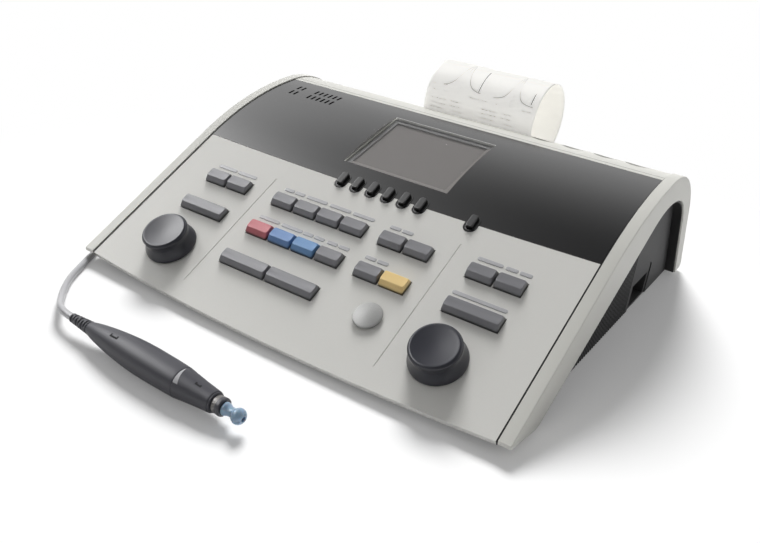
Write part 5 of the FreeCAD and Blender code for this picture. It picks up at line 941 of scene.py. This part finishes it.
class AUDIOMETER_OT_probe(bpy.types.Operator):
    """Add the probe's shell, nose, strain relief and ear tip"""
    bl_idname = "audiometer.probe"
    bl_label = "Probe"

    def execute(self, context):
        p = context.scene.audiometer.probe
        around = context.scene.audiometer.stage.samples_around
        # distances along the axis in millimetres, and shares of the probe's radius
        shell_line = through([(0.3, 0.34), (0.9, 0.405), (2.2, 0.44), (10, 0.585), (20, 0.722), (30, 0.83),
                              (40, 0.912), (50, 0.972), (61, 0.998), (72, 0.992), (82, 0.978),
                              (90, 0.958), (94.2, 0.938), (94.9, 0.905)], 5) * (MM, p.radius)
        handle = probe_piece("probe_shell", shell_line, around, 0, 95)
        handle.data.materials.append(shell_finish("probe_shell_plastic", p.colour, [(32, 18, 6.8, 3.4)]))
        nose_line = through([(95.1, 0.895), (95.6, 0.92), (101, 0.86), (110, 0.765), (118, 0.692),
                             (122.6, 0.657), (123.4, 0.645)], 5)
        ring_line = through([(123.4, 0.645), (123.5, 0.61), (123.9, 0.60), (124.6, 0.595), (125, 0.5)], 3)[1:]
        nose_line = np.vstack([nose_line, ring_line]) * (MM, p.radius)
        nose = probe_piece("probe_nose_shell", nose_line, around, 95, 125)
        nose.data.materials.append(shell_finish("probe_nose_plastic", p.colour, [(111.5, 12, 3.8, 2.6)]))
        nut_line = through([(125.0, 5.1), (125.5, 5.7), (126.4, 6.0), (128.6, 6.05), (129.2, 6.15),
                            (130.8, 6.2), (131.5, 6.1), (131.95, 5.6), (132, 2.6)], 4) * MM
        nut = probe_piece("probe_nut", nut_line, around, 125, 132)
        nut.data.materials.append(self.nut_finish(p.sleeve))
        sleeve = self.sleeve(p, around)
        tip_line = through([(132.4, 2.9), (132.4, 4.1), (132.7, 4.4), (134.0, 4.38), (135.2, 3.85),
                            (136.4, 3.4), (138.5, 3.28), (140.2, 3.6), (141.4, 4.45), (142.9, 5.2),
                            (144.3, 5.38), (145.9, 5.0), (147.2, 4.0), (148.0, 2.9), (148.25, 2.1),
                            (148.0, 1.68), (145.5, 1.6)], 5) * MM
        tip = probe_piece("ear_tip_bulb", tip_line, around, 133.5, 145.2)
        tip.data.materials.append(self.tip_finish(p.tip))
        pieces = ((handle, "case", "probe", ["probe_handle"]), (nose, "case", "probe", ["probe_nose"]),
                  (nut, "case", "sleeve", []), (sleeve, "case", "sleeve", ["probe_strain_relief"]),
                  (tip, "ear_tip", "tip", ["ear_tip"]))
        for piece, body, slot, nodes in pieces:
            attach(piece, body)
            if nodes:
                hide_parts(*nodes)
        return {"FINISHED"}

    def sleeve(self, p, around):
        """Ribbed sleeve: the radius is a taper less a depth times a pulse along the sleeve,
        and the slots stop at two bridges that turn a quarter from one slot to the next."""
        along = np.linspace(-19, 0.2, 140)[:, None]
        a = np.linspace(0, 2 * np.pi, around, endpoint=False)[None, :]
        taper = 3.35 + (along + 19) / 19 * 1.5
        phase = (along + 17.2) / 3.1
        slot = np.clip((0.5 - np.abs(phase - np.round(phase)) * 2) * 6 + 0.5, 0, 1)
        slot = slot * (phase > -0.5) * (phase < 5.5)
        bridge = np.clip(np.abs(np.sin(a + np.round(phase) * np.pi / 2)) * 4 - 0.9, 0, 1)
        radius = (taper - 0.85 * slot * bridge) * MM
        rings = turned(PROBE_TAIL, PROBE_AXIS, (0, 0, 1), np.hstack([along * MM, along * 0 + 1]), around)
        centre = PROBE_TAIL + along * MM * np.array(PROBE_AXIS)
        rings = centre[:, None] + (rings - centre[:, None]) * radius[..., None]
        piece = mesh_piece("probe_sleeve", rings, centre[0], centre[-1])
        piece.data.materials.append(moulded("sleeve_rubber", p.sleeve, 0.55, 0.0004, 0.06, 0.15))
        return piece

    def nut_finish(self, colour):
        """Coupling nut: a bright milled collar, then the dark nut itself."""
        f = Finish("milled_nut")
        along, angle = f.surface_map()
        collar = along.below(128.7 * MM, 0.1 * MM)
        teeth = (angle * 40.0 + along * 3000.0).sine()
        worn = f.mix(f.noise(0.002), shade(rgb(colour), 0.9), shade(rgb(colour), 1.2))
        milled = f.mix(teeth * 0.5 + 0.5, rgb((0.24, 0.23, 0.23)), rgb((0.56, 0.55, 0.54)))
        return f.surface(Base_Color=f.mix(collar, worn, milled), Metallic=collar * 0.4, Roughness=0.38,
                         Normal=f.bump(teeth * collar, 0.15, 0.0002))

    def tip_finish(self, colour):
        """Translucent silicone."""
        f = Finish("soft_tip_silicone")
        cloud = f.noise(0.003, 2.0)
        tint = f.tones(cloud, rgb(colour), 0.95, 1.05)
        return f.surface(Base_Color=tint, Roughness=0.33, Subsurface_Weight=0.25, Subsurface_Scale=0.002,
                         Coat_Weight=0.2, Normal=f.bump(cloud, 0.02, 0.0002))


# ---------------------------------------------------------------- paper

# The strip stands upright at this place behind the front edge, up to the height where its curl starts.
STRIP_BACK = 285.5 * MM
STRIP_BEND = 117 * MM


class AUDIOMETER_OT_paper(bpy.types.Operator):
    """Add the printed strip that curls up from the printer"""
    bl_idname = "audiometer.paper"
    bl_label = "Paper Strip"

    def execute(self, context):
        p = context.scene.audiometer.paper
        low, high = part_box("paper_strip")
        # the strip rises, turns half over and comes down behind: y and z follow the angle past the bend
        down = np.linspace(low.z - STRIP_BEND, 0, 12, endpoint=False)
        over = np.linspace(0, np.pi + math.radians(48), 90)
        run = np.concatenate([down, over * p.curl])
        turn = np.clip(run / p.curl, 0, None)
        across = np.linspace(-p.width / 2, p.width / 2, 57)
        face = []
        for radius in (p.curl + 0.14 * MM, p.curl - 0.14 * MM):
            y = FRONT_Y + STRIP_BACK + p.curl - radius * np.cos(turn)
            z = STRIP_BEND + radius * np.sin(turn) + np.where(run < 0, run, 0)
            face.append(np.stack([y, z], -1))
        ring = np.vstack([face[0], face[1][::-1]])
        chart_run = np.concatenate([run, run[::-1]])
        x = across[:, None]
        rings = np.stack(np.broadcast_arrays(x, ring[None, :, 0], ring[None, :, 1]), -1)
        chart = np.stack(np.broadcast_arrays(x, chart_run[None, :]), -1)
        strip = mesh_object("printed_strip", self.strip_mesh(rings, chart, len(run)))
        strip.data.materials.append(self.print_finish(p))
        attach(strip, "lid")
        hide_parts("paper_strip")
        return {"FINISHED"}

    def strip_mesh(self, rings, chart, half):
        """Closed thin shell: the wrapped outline at each step across, and quads that close each side."""
        count, around = rings.shape[:2]
        index = np.arange(count * around).reshape(count, around)
        there = np.roll(index, -1, 1)
        quads = [np.stack([index[:-1], there[:-1], there[1:], index[1:]], -1).reshape(-1, 4)]
        for row in (0, count - 1):
            outer, inner = index[row, :half], index[row, half:][::-1]
            quads.append(np.stack([outer[:-1], outer[1:], inner[1:], inner[:-1]], -1))
        mesh = bpy.data.meshes.new("printed_strip")
        mesh.from_pydata(rings.reshape(-1, 3).tolist(), [], np.vstack(quads).tolist())
        corners = np.zeros(len(mesh.loops), int)
        mesh.loops.foreach_get("vertex_index", corners)
        layer = mesh.uv_layers.new(name="Surface")
        layer.data.foreach_set("uv", chart.reshape(-1, 2)[corners].astype(np.float32).ravel())
        return mesh

    def print_finish(self, p):
        """Thermal paper with two plotted curves, their scales and rows of small marks, measured in
        millimetres. A little glow stands for the light that comes through the thin sheet, and the top of the
        curl's outside is painted darker as painted shade."""
        f = Finish("printed_thermal_paper")
        u, v = (value / MM for value in f.surface_map())
        ink = []
        for left, width in ((-23.3, 4.5), (29.6, 3.2)):
            # a resonance curve: height = top / (1 + (distance / width)^2)
            d = (u - left) / width
            height = 36 / (d * d + 1.0) + 18.5
            # the line is drawn as wide on its steep flanks as on its top
            slope = abs(d) / (d * d + 1.0) * 9.0 + 1.0
            curve = (abs(v - height) / slope).below(0.22, 0.12)
            axis = abs(u - (left + 0.2)).below(0.16, 0.1)
            axis = axis * v.below(52, 0.5) * (1 - v.below(14, 0.3))
            ink.append(curve.most(axis) * abs(u - (left + 2)).below(20, 0.3) * 0.55)
        # two upright bars: place across, and their lower and upper ends
        for x, low, high in ((-4.0, 21, 47), (48.6, 21, 33)):
            bar = abs(u - x).below(0.42, 0.15)
            ink.append(bar * v.below(high, 0.3) * (1 - v.below(low, 0.3)))
        # rows of small marks: start and end across, and height
        rows = [(-49.5, -33.5, 7.0), (-29, -18, 7.3), (-49.2, -33, 2.6), (-29, -18.2, 3.1),
                (-50, -36, -1.6), (-25.2, -15.2, -1.4), (-13.5, -0.2, 14.4), (1.8, 7.5, 14.4),
                (15.8, 20.5, 14.5), (3.8, 20.2, 7.1), (24.2, 34.5, 7.6), (4, 19.8, 3.4), (23.8, 34, 3.6),
                (4.2, 17.5, -0.8), (28.5, 37.8, -1.3), (40.5, 52.8, 14.4), (-52.5, -49, 20),
                (-38.5, -36, 20.6), (-50.2, -46.5, 14.1), (-38, -33.2, 14.5)]
        marks = [abs(u - (start + end) / 2).below((end - start) / 2, 0.1) * abs(v - level).below(0.62, 0.12)
                 for start, end, level in rows]
        strokes = f.noise(0.00055, 0.0).below(0.52, 0.03)
        ink.append(highest(marks) * strokes * 0.6)
        fibre = f.noise(0.0015, 4.0)
        paper = rgb(p.colour)
        tint = f.tones(fibre, paper, 0.97, 1.02)
        y, z = f.places()[1:]
        y, z = y - (FRONT_Y + STRIP_BACK + p.curl), z - STRIP_BEND
        inside = (y * y + z * z).root().below(p.curl, 0.06 * MM) * (1 - v.below(1, 1))
        upright = v.below(45, 14).most(inside * 0.8)
        # painted shade: the outside of the curl's top is painted 14% darker; the upright part and the inside
        # glow instead, as painted light
        tint = f.mix(upright, shade(paper, 0.86), tint)
        printed = f.mix(highest(ink) * 0.9, tint, rgb(p.ink))
        return f.surface(Base_Color=printed, Roughness=0.62, Normal=f.bump(fibre, 0.04, 0.0001),
                         Emission_Color=f.mix(upright, rgb(0), printed), Emission_Strength=0.33)


# ---------------------------------------------------------------- panel and registration

OPERATORS = (AUDIOMETER_OT_stage, AUDIOMETER_OT_cord, AUDIOMETER_OT_case, AUDIOMETER_OT_keys,
             AUDIOMETER_OT_soft_keys, AUDIOMETER_OT_dome, AUDIOMETER_OT_lamps, AUDIOMETER_OT_knobs,
             AUDIOMETER_OT_probe, AUDIOMETER_OT_paper)
GROUPS = (CaseSettings, KeySettings, KnobSettings, ProbeSettings, PaperSettings, StageSettings,
          AudiometerSettings)


class AUDIOMETER_PT_pieces(bpy.types.Panel):
    """Lists the pieces of the audiometer"""
    bl_idname = "AUDIOMETER_PT_pieces"
    bl_label = "Audiometer"
    bl_space_type = "VIEW_3D"
    bl_region_type = "UI"
    bl_category = "Audiometer"

    def draw(self, context):
        for operator in OPERATORS:
            self.layout.operator(operator.bl_idname)


def register():
    for thing in GROUPS + OPERATORS + (AUDIOMETER_PT_pieces,):
        bpy.utils.register_class(thing)
    bpy.types.Scene.audiometer = PointerProperty(type=AudiometerSettings)


def unregister():
    del bpy.types.Scene.audiometer
    for thing in reversed(GROUPS + OPERATORS + (AUDIOMETER_PT_pieces,)):
        bpy.utils.unregister_class(thing)


def main():
    register()
    for operator in OPERATORS:
        group, name = operator.bl_idname.split(".")
        getattr(getattr(bpy.ops, group), name)()


if __name__ == "__main__":
    main()
